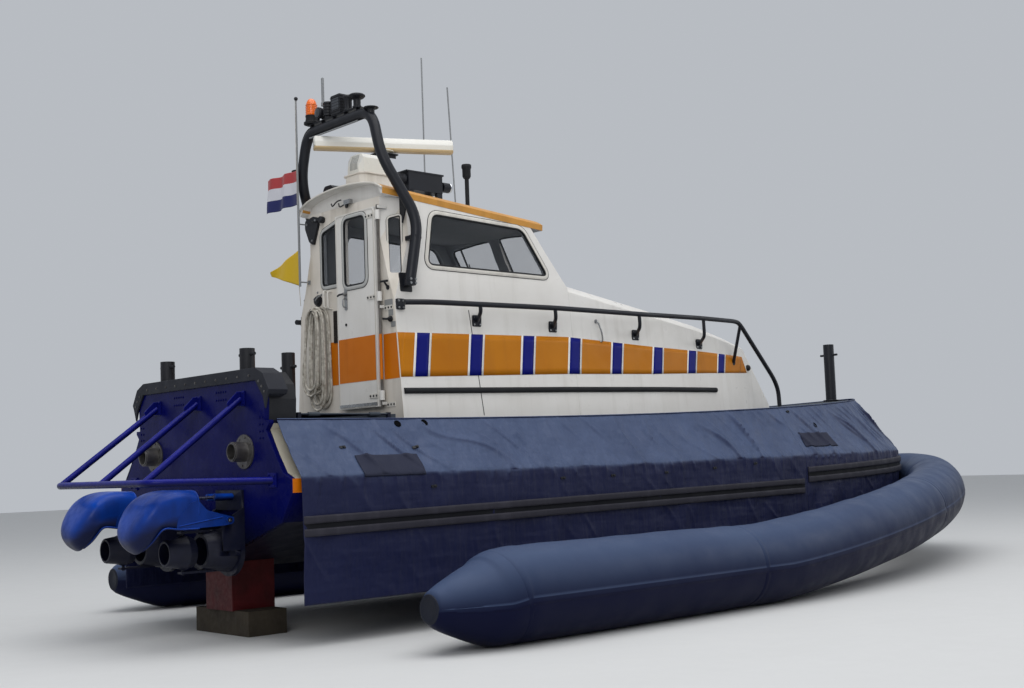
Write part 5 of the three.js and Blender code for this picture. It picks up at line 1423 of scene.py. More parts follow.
halyard = bentTube(flagLine["halyard"], 0.05, 4, 0.003, 8, up=fore)
addPiece("halyard", halyard, "flagstaff", "rope", slot="rope_white", smooth=60)
addPiece("staffBall", lathe(flagLine["ball"], (x, y, flagLine["ballZ"]), upward, 20), "flagstaff", "bitt",
         smooth=60)
print("flags made")


# Seats

seatLine = {
    "middles": (-0.33, 0.33), "half": 0.185,
    # rear and front of the cushion, foot and head of the back, along the boat and up, then how
    # thick each is
    "pads": [((2.075, 2.135), (2.445, 2.16), 0.044), ((2.085, 2.235), (2.04, 2.605), 0.036)],
    "square": 5.0,
    "levels": (0.0, 0.35, 0.65, 0.85, 0.95, 0.99, 1.0),
}


def padShape(values, start, end, thick, middle):
    # a crowned pad: a superellipse in plan whose thickness falls off towards its edge; two sewn
    # channels run along it
    start, end = np.array(start, float), np.array(end, float)
    long, way, square = np.linalg.norm(end - start), unit(end - start), values["square"]
    lift = np.array([-way[1], way[0]])
    angle = turns(56)
    plan = (np.abs(np.cos(angle)) ** square + np.abs(np.sin(angle)) ** square) ** (-1 / square)
    share = np.array(values["levels"] + values["levels"][-2:0:-1])[:, None]
    height = (1 - share ** 4) ** 0.5
    height[len(values["levels"]):] *= -1
    u, v = share * plan * np.cos(angle), share * plan * np.sin(angle)
    channel = 0.12 * np.exp(-((np.abs(v) - 0.42) / 0.05) ** 2) * (height > 0)
    h = (thick * height * (1 - channel))[..., None]
    along = start + way * (u[..., None] + 1) * long / 2 + lift * h
    return closedTube(np.stack([along[..., 0], middle + v * values["half"], along[..., 1]], 2))


for middle, (_, word) in zip(seatLine["middles"], bothSides):
    pads = [padShape(seatLine, *pad, middle) for pad in seatLine["pads"]]
    seat = addPiece("seat" + word, pads, "seat_pad_" + word.lower(), "seat", smooth=60,
                    subdivide=1, replaces=True)
print("seats made")


# Roof: a smooth crown with an ochre edge and a lip at its aft end

roofLine = {
    "from": 1.39, "to": 3.205,
    "edge": (3.573, 0.083, 1.46),  # height at the edge, its fall forward, and the station of both
    "depth": 0.064, "overhang": 0.012, "hoodEnd": 1.47, "hoodWall": 0.016,
    "hoodCorner": (0.9, 0.07),
    "crown": (0.1, 0.072, 0.042),  # height at the middle, and what square and eighth power lose
    "across": 61, "lip": (0.618, 0.011),
    "vent": (2.85, [(0.02, 3.92), (0.032, 3.93), (0.04, 3.948), (0.04, 4.016), (0.047, 4.028),
                     (0.047, 4.05), (0.042, 4.06), (0, 4.061)]),
    "horn": [(0.395, 3.685), (0.548, 3.685), (0.548, 3.77), (0.52, 3.8), (0.425, 3.8), (0.395, 3.77)],
    "hornX": (1.6, 0.1),
    "hornFeet": [((1.615, 0.415, 3.6), (1.645, 0.445, 3.688)),
                 ((1.615, 0.5, 3.58), (1.645, 0.53, 3.688))],
}


def roofEdgeZ(x):
    height, fall, at = roofLine["edge"]
    return height - fall * (np.asarray(x, float) - at)


def roofTopZ(x, y):
    share = np.abs(y) / (houseHalf(x, roofEdgeZ(x)) + roofLine["overhang"])
    middle, square, eighth = roofLine["crown"]
    return roofEdgeZ(x) + middle - square * share ** 2 - eighth * share ** 8


def roofShape(values):
    # sections across the boat: crown over the top and upright edges; the underside is flat over
    # the house and follows the crown in the hood at the aft end
    hoodEnd, count = values["hoodEnd"], values["across"]
    x = np.concatenate([np.linspace(values["from"], hoodEnd, 6), [hoodEnd + 0.002],
                        np.linspace(1.56, values["to"], 13)])[:, None]
    edge = roofEdgeZ(x)
    half = houseHalf(x, edge) + values["overhang"]
    y = half * np.sin(np.linspace(-np.pi / 2, np.pi / 2, count))
    x, top = np.broadcast_to(x, y.shape), roofTopZ(x, y)
    start, width = values["hoodCorner"]
    share = np.where(x <= hoodEnd, np.clip((np.abs(y) / half - start) / width, 0, 1), 1)
    under = (top - values["hoodWall"]) * (1 - share) + (edge - values["depth"]) * share
    over = np.stack([x, y, top], 2)
    below = np.stack([x, y * (1 - 0.004 / half), under], 2)[:, ::-1]
    points, faces = gridShape(np.concatenate([over, below], 1), wrapColumns=True)
    # both ends are strips between the crown and the underside, since the aft one is a crescent
    last, far = (len(x) - 1) * 2 * count, 2 * count - 1
    for j in range(count - 1):
        faces.append([j, j + 1, far - j - 1, far - j])
        faces.append([last + j + 1, last + j, last + far - j, last + far - j - 1])
    return outwards((points, faces))


roof = addPiece("roofTop", roofShape(roofLine), "roof", "house", smooth=30, replaces=True)
paintFaces(roof, "ochre",
           lambda c, n: (np.abs(n[:, 1]) > 0.24) & (np.abs(n[:, 0]) < 0.5) & (n[:, 2] > -0.5))
paintFaces(roof, "liner", lambda c, n: (n[:, 2] < -0.9) & (c[:, 0] > 1.52))
half, radius = roofLine["lip"]
y = half * np.sin(np.linspace(-np.pi / 2, np.pi / 2, 50))
lip = np.stack([np.full(50, roofLine["from"] - 0.004), y, roofTopZ(roofLine["from"], y) - 0.008], 1)
addPiece("roofLip", sweep(lip, radius, 12, up=fore), "roof", "houseTrim", smooth=60)
x, head = roofLine["vent"]
foot = float(roofTopZ(x, 0.0)) - 0.004
profile = [(0, foot), (0.04, foot), (0.04, foot + 0.01), (0.02, foot + 0.018), *head]
addPiece("roofVent", lathe(profile, (x, 0, 0), upward, 28), "roof", "blackRubber")
horn = aftSlab(roundedOutline(roofLine["horn"], 0.015), *roofLine["hornX"])
horn = [horn, *(block(*foot) for foot in roofLine["hornFeet"])]
addPiece("roofHorn", horn, "roof_box", "blackPaint", smooth=36, bevel=0.004)
print("roof made")


# Radar pedestal: a lip and a skirt round its foot, louvres on its aft side, a plate under the bar

pedestalLine = {
    "outline": [(1.548, -0.088), (1.585, -0.122), (1.845, -0.122), (1.925, -0.088), (1.925, 0.088),
                (1.845, 0.122), (1.585, 0.122), (1.548, 0.088)],
    "middle": (1.736, 0.0),
    # growth along and across, foot and height of the lip and of the skirt
    "lips": [((1.12, 1.3), 3.796, 0.014), ((1.06, 1.16), 3.626, 0.1696)],
}
outline = roundedOutline(pedestalLine["outline"], 0.012)
middle = np.array(pedestalLine["middle"])
lips = [levelSlab(middle + (outline - middle) * grow, low, tall)
        for grow, low, tall in pedestalLine["lips"]]
addPiece("pedestalLip", lips, "radar_pedestal", "houseGrimeShade", bevel=0.003)
pedestalFittings = {
    "pedestalLouvres": ("sealGrey", dict(smooth=50), [
        (sweep, [(1.543, y, 3.842), (1.543, y, 3.9), (1.574, y, 3.972)], 0.0032, 6, toPort)
        for y in np.linspace(-0.06, 0.036, 6)]),
    "pedestalPlate": ("bitt", dict(bevel=0.002), [
        (slab, rectangle((-0.11, -0.075), (0.11, 0.075), 0.02), (1.89, 0, 4.02), fore, toPort, 0.01),
        *((block, (1.8, y - 0.004, 3.99), (1.98, y + 0.004, 4.021)) for y in (-0.05, 0.05))]),
}
addFittings(pedestalFittings, "radar_pedestal")

# Box on the roof: lens barrel aft, rim round its open top, and searchlight glass
boxFittings = {
    "roofBoxParts": ("blackPaint", dict(smooth=36, bevel=0.0015), [
        (lathe, [(0, 0), (0.04, 0), (0.046, 0.006), (0.046, 0.03), (0.04, 0.036), (0.04, 0.062),
                 (0.048, 0.068), (0.048, 0.1), (0.04, 0.106), (0, 0.106)],
         (2.072, -0.048, 3.82), aft, 26),
        *((block, (x0, y0, 3.88), (x1, y1, 3.896)) for x0, y0, x1, y1 in (
            (2.055, -0.104, 2.485, -0.096), (2.055, 0.096, 2.485, 0.104),
            (2.055, -0.104, 2.063, 0.104), (2.477, -0.104, 2.485, 0.104)))]),
    "searchGlass": ("chrome", {}, [
        (lathe, [(0, 0), (0.036, 0), (0.044, 0.004), (0.047, 0.012), (0.044, 0.02), (0.03, 0.022),
                 (0, 0.023)], (2.566, -0.06, 3.79), fore, 30)]),
}
addFittings(boxFittings, "roof_box")
print("roof gear made")


# Bands and stripes: thin film laid on the walls

bandLine = {
    "top": [(1.43, 2.346), (3.38, 2.381), (4.62, 2.331), (6.36, 2.307)],
    "low": [(1.41, 1.975), (3.33, 2.037), (4.57, 2.063), (6.44, 2.134)],
    "from": 1.434, "to": 6.395, "lean": 0.06,
    "stripes": (1.675, 2.265, 2.876, 3.468, 4.046, 4.645, 5.243, 5.836),
    "stripeWidth": 0.135, "edge": 0.022, "film": 0.0007,
    "houseStrake": [(1.455, 1.862), (3.3, 1.893), (5.65, 1.926)],
    "strakeProfile": [(-0.002, -0.024), (0.012, -0.024), (0.022, -0.015), (0.026, 0.0), (0.022, 0.015),
                      (0.012, 0.024), (-0.002, 0.024)],
    "aft": (1.97, 2.345), "aftPort": (0.062, 0.29), "rod": (1.392, -0.54),
}


def filmShape(start, end, gap, slant=0.0):
    # a panel on the starboard wall between two stations, slanting forward with height
    x = np.linspace(start, end, max(2, int((end - start) / 0.025) + 1))
    share = np.linspace(0, 1, 7)[:, None]
    at = x[None] + slant * (share - 0.5)
    low, high = (np.interp(at, *np.array(bandLine[key]).T) for key in ("low", "top"))
    z = low + (high - low) * share
    return gridShape(np.stack([at, -(sideHalf(at, z) + gap), z], 2))


def filmPieces(values):
    half, slant, start = values["stripeWidth"] / 2, values["lean"], values["from"]
    wide = half + values["edge"]
    orange = [filmShape(start + 0.03, 6.3, 0.0014, slant), filmShape(start, start + 0.1, 0.0012),
              filmShape(6.2, values["to"], 0.0012, -0.09)]
    white = [filmShape(at - wide, at + wide, 0.0024, slant) for at in values["stripes"]]
    blue = [filmShape(at - half, at + half, 0.0034, slant) for at in values["stripes"]]
    return {"bandOrange": (orange, "orange"), "bandEdges": (white, "bandWhite"),
            "bandBlue": (blue, "bandBlue")}


for name, (shapes, look) in filmPieces(bandLine).items():
    addBoth(name, shapes, "wheelhouse", look, smooth=20, wall=bandLine["film"], offset=0)
line = np.array(bandLine["houseStrake"])
x = np.linspace(line[0, 0], line[-1, 0], 90)
z = np.interp(x, *line.T)
strake = carry(np.stack([x, -sideHalf(x, z), z], 1), bandLine["strakeProfile"])
addBoth("houseStrake", strake, "wheelhouse", "blackRubber", slot="black_rubber", smooth=45)

# the band across the aft wall, the door's hinge rod and the door
low, high = bandLine["aft"]
wallEdge = [(-(float(houseHalf(1.43, z)) - 0.01), z) for z in (high, low)]
aftBand = [aftSlab([wallEdge[1], (-0.53, low), (-0.53, high), wallEdge[0]], 1.4292, -0.0008),
           aftSlab(rectangle(*zip(bandLine["aftPort"], (low, high))), 1.4292, -0.0008)]
addPiece("aftBand", aftBand, "wheelhouse", "orangeDeep", smooth=0)
rodBand = [(0.0115, low), (0.0128, low), (0.0128, high), (0.0115, high)]
addPiece("rodBand", lathe(rodBand, (*bandLine["rod"], 0), upward, 20), "wheelhouse", "orangeDeep")
doorBand = aftSlab(rectangle((-0.508, low), (0.04, high)), 1.3712, -0.0008)
addPiece("doorBand", doorBand, "door", "orangeDeep", smooth=0)
print("bands made")


# Window seals: a broad rim with a dark lip inside it and a fine dark line round it

sealLine = {
    "Rim": [(-0.036, -0.003), (-0.036, 0.004), (-0.03, 0.0075), (-0.008, 0.009), (0.001, 0.006),
            (0.001, -0.003)],
    "Lip": [(-0.003, -0.004), (-0.003, 0.0085), (0.004, 0.0095), (0.012, 0.005), (0.012, -0.006)],
    "Line": [(-0.041, -0.002), (-0.041, 0.0035), (-0.034, 0.0035), (-0.034, -0.002)],
}
windowLine = {
    "side": roundedOutline([(1.905, 3.388), (1.812, 2.938), (3.215, 2.936), (2.945, 3.35)], 0.07, 8),
    "screen": roundedOutline([(0.06, 3.38), (0.06, 2.9), (0.59, 2.89), (0.545, 3.33)], 0.05, 8),
    "aftPort": roundedOutline([(0.085, 3.38), (0.33, 3.32), (0.33, 2.85), (0.085, 2.85)], 0.04, 6),
    "door": roundedOutline([(-0.386, 3.37), (-0.084, 3.37), (-0.084, 2.79), (-0.386, 2.79)], 0.06, 8),
    "corner": roundedOutline([(-0.05, 3.32), (0.05, 3.345), (0.05, 2.85), (-0.05, 2.85)], 0.02, 5),
    "cornerAt": (1.53, -0.585, 0), "cornerTurn": 57,
}
screenOut = (0.8, 0.1, 0.58)
screenLine = {
    "foot": (3.46, 2.836), "tall": 0.53, "back": (0.27, 0.13), "half": 0.627,
    "mullion": [(-0.02, -0.006), (-0.02, 0.006), (-0.008, 0.012), (0.008, 0.012), (0.02, 0.006),
                (0.02, -0.006)],
    "mullionZ": (2.86, 3.37),
    "wiperHub": [(0, -0.03), (0.02, -0.03), (0.02, 0.012), (0.012, 0.02), (0, 0.02)],
}


def sealPieces(name, path, size, out, look, node="wheelhouse"):
    for word, own in (("Rim", look), ("Lip", "sealBlack"), ("Line", "sealBlack")):
        profile = np.array(sealLine[word]) * (size, 1)
        addPiece(name + word, closedCarry(path, profile, out), node, own, slot="black_rubber", smooth=50)


def denser(outline, step=0.03):
    # more points along the straight runs, so that a seal follows its wall
    closed = np.vstack([outline, outline[:1]])
    run = runOf(closed)
    at = np.unique(np.concatenate([run[:-1], np.arange(0, run[-1], step)]))
    return placesOn(closed, run, at[np.concatenate([[True], np.diff(at) > 0.004])]).T


def screenX(y, z):
    # both panes of the screen lean back with height, and more at the outer end than at the middle
    (x, foot), (middle, outer) = screenLine["foot"], screenLine["back"]
    return x - (z - foot) / screenLine["tall"] * (middle + outer * np.abs(y) / screenLine["half"])


for side, word in bothSides:
    x, z = denser(windowLine["side"])
    path = np.stack([x, side * houseHalf(x, z), z], 1)
    sealPieces("sideSeal" + word, path, 1.0, (0, side, lean), "houseTrim")
    y, z = denser(windowLine["screen"])
    path = np.stack([screenX(side * y, z), side * y, z], 1)
    sealPieces("screenSeal" + word, path, 1.0, screenOut * np.array([1, side, 1]), "houseTrim")
for name, key, x, node in (("aftSeal", "aftPort", 1.43, "wheelhouse"), ("doorSeal", "door", 1.372, "door")):
    path = denser(windowLine[key]).T
    sealPieces(name, np.insert(path, 0, x, 1), 0.9, aft, "sealPale", node)
turn = math.radians(windowLine["cornerTurn"])
across = np.array([math.sin(turn), -math.cos(turn), 0])
u, v = denser(windowLine["corner"], 0.04)[..., None]
path = np.array(windowLine["cornerAt"]) + u * across + v * np.array(upward)
sealPieces("cornerSeal", path, 0.45, (-math.cos(turn), -math.sin(turn), 0), "houseTrim")
low, high = ((float(screenX(0, z)) + 0.004, 0, z) for z in screenLine["mullionZ"])
mullion = carry(np.linspace(low, high, 6), screenLine["mullion"], up=(1, 0, 0.3))
addPiece("screenMullion", mullion, "wheelhouse", "blackRubber", slot="black_rubber")


def onScreen(side, y, z, gap):
    return (float(screenX(side * y, z)) + gap, side * y, z)


wipers = []
for side, _ in bothSides:
    foot, head = onScreen(side, 0.545, 2.895, 0.03), onScreen(side, 0.485, 3.21, 0.06)
    foot = (float(screenX(0.545, 2.9)) + 0.03, *foot[1:])
    wipers.append(straightTube(foot, head, 6, 0.006, 8, up=fore))
    wipers.append(lathe(screenLine["wiperHub"], foot, (0.8, 0, 0.58), 16))
    low, top = onScreen(side, 0.507, 3.04, 0.02), onScreen(side, 0.455, 3.34, 0.02)
    wipers.append(straightTube(low, top, 6, 0.007, 8, up=fore, flatten=1.6))
addPiece("wipers", wipers, "wheelhouse", "blackRubber", slot="black_rubber", smooth=50)
print("seals made")


# Door fittings, which swing with it

doorX = 1.372
strapZ = (1.838, 2.66, 3.345)
doorFittings = {
    "doorStraps": ("houseTrim", dict(bevel=0.0012, segments=1), [
        (aftSlab, roundedOutline([(-0.514, z - 0.02), (-0.395, z - 0.017), (-0.395, z + 0.017),
                                  (-0.514, z + 0.02)], 0.008), doorX, -0.006) for z in strapZ]),
    # handle plate, pivot, grab loop and sill
    "doorMetal": ("steel", dict(smooth=40), [
        (aftSlab, rectangle((-0.112, 2.59), (-0.072, 2.815), 0.018), doorX, -0.005),
        (lathe, [(0, 0), (0.013, 0), (0.013, 0.03), (0.01, 0.034), (0, 0.034)],
         (doorX - 0.004, -0.092, 2.7295), aft, 18),
        (bentTube, [(doorX - 0.004, -0.092, 2.612), (doorX - 0.036, -0.092, 2.62),
                    (doorX - 0.036, -0.092, 2.6845), (doorX - 0.004, -0.092, 2.6915)],
         0.02, 5, 0.006, 12, toPort),
        (aftSlab, rectangle((-0.5, 1.76), (0.03, 1.786), 0.006), doorX, -0.005),
    ]),
    # bolts of the straps, lever and keyhole
    "doorDark": ("bitt", dict(smooth=36), [
        *((boltRow, [(doorX - 0.006, y, z) for y in (-0.413, -0.4555, -0.498)], aft, 0.0065)
          for z in strapZ),
        (bentTube, [(doorX - 0.03, -0.102, 2.7295), (doorX - 0.034, -0.032, 2.7275),
                    (doorX - 0.03, -0.01, 2.7195)], 0.02, 5, 0.0085),
        (lathe, [(0, 0), (0.012, 0), (0.012, 0.005), (0.006, 0.006), (0, 0.006)],
         (doorX, -0.086, 2.467), aft, 18),
    ]),
    "doorRim": ("houseTrim", dict(smooth=30), [
        (closedCarry, np.insert(roundedOutline(rectangle((-0.508, 1.754), (0.039, 3.412)), 0.045, 6),
                                0, doorX, 1),
         [(0, -0.002), (0, 0.003), (0.01, 0.003), (0.01, -0.002)], aft)]),
}
addFittings(doorFittings, "door")
print("door dressed")


# Fittings on the aft wall and the sides of the house

wallX = 1.43
flangeRing = [(wallX, 0.403 + 0.078 * math.cos(a), 2.732 + 0.078 * math.sin(a)) for a in turns(6, 0.3)]
gusset = [(0.6, 3.28), (0.634, 3.28), (0.702, 3.44), (0.702, 3.5), (0.6, 3.5)]
gusset = aftSlab(gusset, 1.59, -0.01)
wallFittings = {
    # a louvred panel beside the door
    "wallRecess": ("recessBrown", dict(smooth=0), [
        (aftSlab, rectangle((0.086, 2.335), (0.18, 2.615), 0.008), wallX - 0.0004, -0.006),
        *((block, (wallX - 0.012, 0.094, z - 0.003), (wallX - 0.006, 0.172, z + 0.003))
          for z in np.linspace(2.355, 2.595, 9)),
    ]),
    # two straps of the door's hinge rod, and two hooks
    "wallPale": ("houseTrim", dict(slot="house_white"), [
        *((aftSlab, rectangle((-0.668, z - 0.019), (-0.556, z + 0.019), 0.008), wallX, -0.006)
          for z in (1.76, 2.56)),
        (bentTube, [(wallX, 0.268, 2.8), (wallX - 0.045, 0.268, 2.8), (wallX - 0.045, 0.258, 2.655),
                    (wallX, 0.258, 2.65)], 0.025, 5, 0.01, 12, toPort),
        (bentTube, [(wallX, 0.21, 2.79), (wallX - 0.04, 0.21, 2.79), (wallX - 0.04, 0.206, 2.64),
                    (wallX, 0.206, 2.636)], 0.025, 5, 0.009, 12, toPort),
    ]),
    # bolts of the flange, its lever, bolts of the bracket, and the lamp's base under the hood
    "wallMetal": ("steel", {}, [
        (boltRow, flangeRing, aft, 0.008),
        (bentTube, [(wallX - 0.036, 0.403, 2.732), (wallX - 0.045, 0.353, 2.76),
                    (wallX - 0.04, 0.288, 2.774)], 0.03, 5, 0.008),
        (boltRow, [(wallX - 0.026, y, z) for y, z in ((0.53, 3.43), (0.4, 3.45), (0.452, 3.275))],
         aft, 0.008),
        (block, (1.392, -0.15, 3.51), (1.426, -0.06, 3.548)),
    ]),
    "wallDark": ("bitt", {}, [
        *((boltRow, [(wallX - 0.006, y, z) for y in (-0.655, -0.615, -0.575)], aft, 0.0065)
          for z in (1.76, 2.56)),
        # round flange
        (lathe, [(0, 0), (0.052, 0), (0.052, 0.008), (0.04, 0.012), (0.038, 0.03), (0.03, 0.036),
                 (0, 0.036)], (wallX, 0.403, 2.732), aft, 28),
        # T latch
        (straightTube, (wallX - 0.04, -0.655, 2.775), (wallX - 0.04, -0.565, 2.779), 4, 0.0095),
        (straightTube, (wallX - 0.002, -0.61, 2.727), (wallX - 0.04, -0.61, 2.775), 4, 0.0085, 12, toPort),
        (lathe, [(0, 0), (0.02, 0), (0.02, 0.006), (0, 0.007)], (wallX, -0.61, 2.727), aft, 20),
        # lever and its boss
        (bentTube, [(wallX - 0.012, -0.545, 2.474), (wallX - 0.03, -0.62, 2.462),
                    (wallX - 0.03, -0.69, 2.466)], 0.03, 5, 0.009),
        (lathe, [(0, 0), (0.024, 0), (0.024, 0.014), (0.014, 0.03), (0, 0.03)],
         (wallX, -0.64, 2.462), aft, 20),
        # gussets of the hood, and a bracket at the wall's port edge
        (joined, [mirrored(gusset), gusset]),
        (aftSlab, roundedOutline([(0.56, 3.395), (0.555, 3.465), (0.43, 3.49), (0.35, 3.465), (0.365, 3.4),
                                  (0.44, 3.235), (0.5, 3.27)], 0.014), wallX, -0.026),
        # lamp under the hood, conduits and a socket
        (lathe, [(0, 0), (0.013, 0), (0.016, 0.012), (0.01, 0.034), (0, 0.034)], (1.408, -0.09, 3.512),
         (-0.3, 0, -1), 16),
        (bentTube, [(1.426, 0.06, 3.545), (1.405, 0.02, 3.5), (1.405, -0.06, 3.515)], 0.04, 6, 0.006, 10),
        (bentTube, [(1.426, 0.17, 3.56), (1.4, 0.12, 3.52), (1.402, 0.055, 3.56), (1.426, 0.02, 3.57)],
         0.04, 6, 0.006, 10),
        (bentTube, [(1.42, 0.33, 3.47), (1.396, 0.36, 3.43), (1.396, 0.43, 3.44), (1.424, 0.47, 3.47)],
         0.04, 6, 0.006, 10),
        (lathe, [(0, 0), (0.026, 0), (0.03, 0.01), (0.03, 0.04), (0.022, 0.048), (0, 0.048)],
         (1.429, 0.3, 3.44), aft, 20),
    ]),
    # small plates by the door's hinge rod
    "wallGrey": ("sealGrey", dict(smooth=0, bevel=0.001, segments=1), [
        (aftSlab, rectangle((y0, z0), (y1, z1), 0.006), wallX, -0.004) for y0, z0, y1, z1 in
        ((-0.668, 2.552, -0.56, 2.628), (-0.672, 2.49, -0.61, 2.545), (-0.7, 2.395, -0.64, 2.44))]),
}
sideFittings = {
    "hook": (3.8, 2.545),
    # along the boat, out from the wall and up, from the hook's eye
    "hookRun": [(0, 0, 0), (-0.01, 0.04, -0.01), (0.03, 0.045, -0.11), (0.055, 0.03, -0.185),
                (0.035, 0.012, -0.19)],
    "hookEye": [(0, 0), (0.02, 0), (0.02, 0.005), (0, 0.006)],
    "lamp": (6.47, 2.19),
    "lampProfile": [(0, -0.004), (0.03, -0.004), (0.034, 0.008), (0.028, 0.026), (0.014, 0.036),
                    (0, 0.038)],
    "seam": [(2.224, 2.571), (2.296, 1.66)],
}


def sideParts(values):
    # lashing hook, cabin lamp and the dark joint between two panels, on the starboard side
    x, z = values["hook"]
    wall = -float(sideHalf(x, z))
    run = [(x + along, wall - out, z + up) for along, out, up in values["hookRun"]]
    metal = [bentTube(run, 0.03, 6, 0.0075),
             lathe(values["hookEye"], (x, wall, z), (0, -1, 0), 18)]
    x, z = values["lamp"]
    dark = [lathe(values["lampProfile"], (x, -float(sideHalf(x, z)), z), (0.15, -1, 0), 24)]
    x, z = np.linspace(*np.array(values["seam"]), 24).T
    path = np.stack([x, -sideHalf(x, z), z], 1)
    dark.append(carry(path, rectangle((-0.0035, -0.001), (0.0035, 0.0018)), up=(0, -1, 0)))
    return metal, dark


addFittings(wallFittings, "wheelhouse", slot="dark_metal", smooth=36)
metal, dark = sideParts(sideFittings)
addBoth("sideMetal", metal, "wheelhouse", "steel", slot="dark_metal", smooth=40)
addBoth("sideDark", dark, "wheelhouse", "sealBlack", slot="dark_metal", smooth=40)
print("house dressed")


# Bolts and rivets on the stern

sternFittings = {
    "cappingX": -0.018,
    "cappingRow": (0.8, 11, 1.955),  # half width, count and height
    "cappingSide": ((0.935, 1.905), (0.975, 1.865), (1.01, 1.825)),
    "rivetRows": [(-0.36, 1.86, 5), (0.3, 1.86, 5), (-0.36, 1.8, 5), (0.3, 1.8, 5)],
    "rivetPitch": 0.035,
    "sideRivets": (0.93, 0.02, 1.64, 0.05, 4),  # middle, half spacing, top, pitch and count
    "exhaust": (-0.012, 0.7, 1.398),
    "exhaustRing": (0.106, 8, 0.2),  # radius, count and first angle
}


def sternRows(values):
    x = values["cappingX"]
    half, count, z = values["cappingRow"]
    capping = [(x, y, z) for y in np.linspace(-half, half, count)]
    capping += [(x, side * y, z) for side, _ in bothSides for y, z in values["cappingSide"]]
    pitch = values["rivetPitch"]
    rivets = [(0, middle + (k - (count - 1) / 2) * pitch, z) for middle, z, count in values["rivetRows"]
              for k in range(count)]
    middle, apart, top, pitch, count = values["sideRivets"]
    rivets += [(0, side * middle + dy, top - pitch * k) for side, _ in bothSides for k in range(count)
               for dy in (-apart, apart)]
    x, y, z = values["exhaust"]
    radius, count, start = values["exhaustRing"]
    angle = turns(count, start)
    ring = [(x, side * y + radius * math.cos(a), z + radius * math.sin(a)) for side, _ in bothSides
            for a in angle]
    return capping, rivets, ring


capping, rivets, ring = sternRows(sternFittings)
addPiece("cappingBolts", boltRow(capping, aft), "transom_capping", "darkSteel", smooth=30)
addPiece("transomRivets", boltRow(rivets, aft), "transom", "transomBlue", smooth=30)
addPiece("exhaustBolts", boltRow(ring, aft, 0.009, 0.008), "transom", "darkSteel", slot="steel",
         smooth=30)


# Reverse buckets: a smooth hood whose aft end narrows into a horn, on two plain arms

bucketLine = {
    "axis": 0.48,
    # stations from the fore edge of the hood to the tip of the horn: top x and z, low edge x and z,
    # half width, and how square the section is
    "stations": [
        (-0.395, 1.126, -0.395, 0.858, 0.236, 6.0), (-0.46, 1.137, -0.45, 0.857, 0.236, 6.0),
        (-0.53, 1.138, -0.51, 0.857, 0.236, 6.0), (-0.61, 1.126, -0.56, 0.859, 0.236, 6.0),
        (-0.68, 1.098, -0.6, 0.866, 0.236, 6.0), (-0.745, 1.045, -0.64, 0.872, 0.234, 5.6),
        (-0.8, 0.97, -0.668, 0.868, 0.226, 5.0), (-0.845, 0.892, -0.688, 0.836, 0.2, 4.4),
        (-0.864, 0.826, -0.7, 0.8, 0.168, 3.8), (-0.852, 0.764, -0.714, 0.768, 0.136, 3.2),
        (-0.812, 0.716, -0.734, 0.74, 0.104, 2.8), (-0.775, 0.694, -0.753, 0.717, 0.07, 2.5),
    ],
    "wall": 0.012, "rim": 0.0075,
    "arm": [(-0.112, 0.88), (-0.112, 0.926), (-0.135, 0.942), (-0.2, 0.948), (-0.33, 0.985),
            (-0.4, 1.06), (-0.47, 1.04), (-0.56, 0.93), (-0.575, 0.862), (-0.48, 0.858),
            (-0.18, 0.868)],
    "armFrom": 0.2212, "armThick": 0.0165, "armRidge": ((-0.555, 0.88), (-0.205, 0.93)),
    "pivot": (-0.15, 0.904),
    "splitter": [(-0.855, 0.85), (-0.855, 0.8), (-0.79, 0.722), (-0.762, 0.8), (-0.726, 1.04)],
    "splitterHalf": 0.008,
    "rods": (0.052, 1.07, -0.172, -0.345),  # offset, height, and where the rods start and end
}


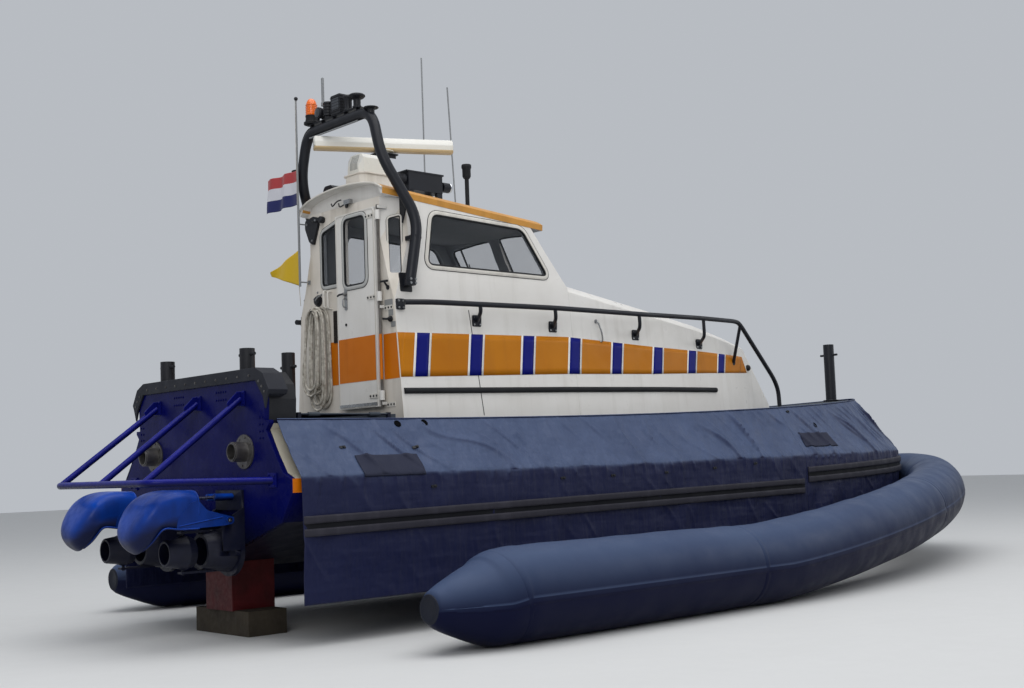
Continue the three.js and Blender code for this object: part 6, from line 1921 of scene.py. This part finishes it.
def bucketShapes(values):
    # each section is a superellipse arch: y = half |cos|^(2/n), depth share = 1 - |sin|^(2/n)
    stations = np.array(values["stations"])
    at = np.linspace(0, len(stations) - 1, 96)
    rows = placesOn(stations, np.arange(len(stations)), at)
    padded = np.pad(rows, ((5, 5), (0, 0)), mode="reflect", reflect_type="odd")
    rows = [np.convolve(column, np.ones(11) / 11, "valid")[:, None] for column in padded.T]
    topX, topZ, lowX, lowZ, half, square = rows
    angle = np.linspace(0, np.pi, 61)
    across = half * np.sign(np.cos(angle)) * np.abs(np.cos(angle)) ** (2 / square)
    deep = 1 - np.abs(np.sin(angle)) ** (2 / square)
    points = np.stack([topX + (lowX - topX) * deep, across, topZ + (lowZ - topZ) * deep], 2)
    parts = [sweep(points[:, column], values["rim"], 10, up=toPort) for column in (0, -1)]
    parts.append(sweep(points[0, 1:-1], values["rim"], 10, up=fore))
    bolts = []
    x, z = values["pivot"]
    (x0, z0), (x1, z1) = values["armRidge"]
    for side, _ in bothSides:
        start, out = side * values["armFrom"], (0, side, 0)
        face = start + side * values["armThick"]
        parts.append(sideSlab(roundedOutline(values["arm"], 0.02), start, -side * values["armThick"]))
        parts.append(straightTube((x0, face, z0), (x1, face, z1), 6, 0.006, 8))
        parts.append(lathe(disc(0.029, -0.004, 0.006), (x, face, z), out, 22))
        bolts.append(boltHead((x, face + side * 0.004, z), out, 0.013, 0.009))
    thin = values["splitterHalf"]
    parts.append(sideSlab(values["splitter"], -thin, -2 * thin))
    return gridShape(points), parts, bolts


hood, arms, bolts = bucketShapes(bucketLine)
offset, height, start, end = bucketLine["rods"]
for side, word in bothSides:
    node, by = "reverse_bucket_" + word.lower(), (0, side * bucketLine["axis"], 0)
    piece = addPiece("bucketHood" + word, moved(hood, by), node, "bucketBlue", smooth=60,
                     wall=bucketLine["wall"], offset=-1.0, replaces=True)
    if piece.data.polygons[30].normal.z < 0:
        piece.data.flip_normals()
    addPiece("bucketArms" + word, moved(arms, by), node, "bucketBlue", smooth=40, bevel=0.002, segments=1)
    addPiece("bucketBolts" + word, moved(bolts, by), node, "steel", smooth=30)
    rods = []
    for y in (by[1] - offset, by[1] + offset):
        rods.append(lathe(disc(0.0122, 0, start - end), (start, y, height), aft, 18))
        rods.append(lathe(disc(0.02, -0.011, 0.011), (end - 0.012, y, height), toPort, 20))
    addPiece("jetRods" + word, rods, "jet_housing_" + word.lower(), "chrome", smooth=40)
print("buckets made")
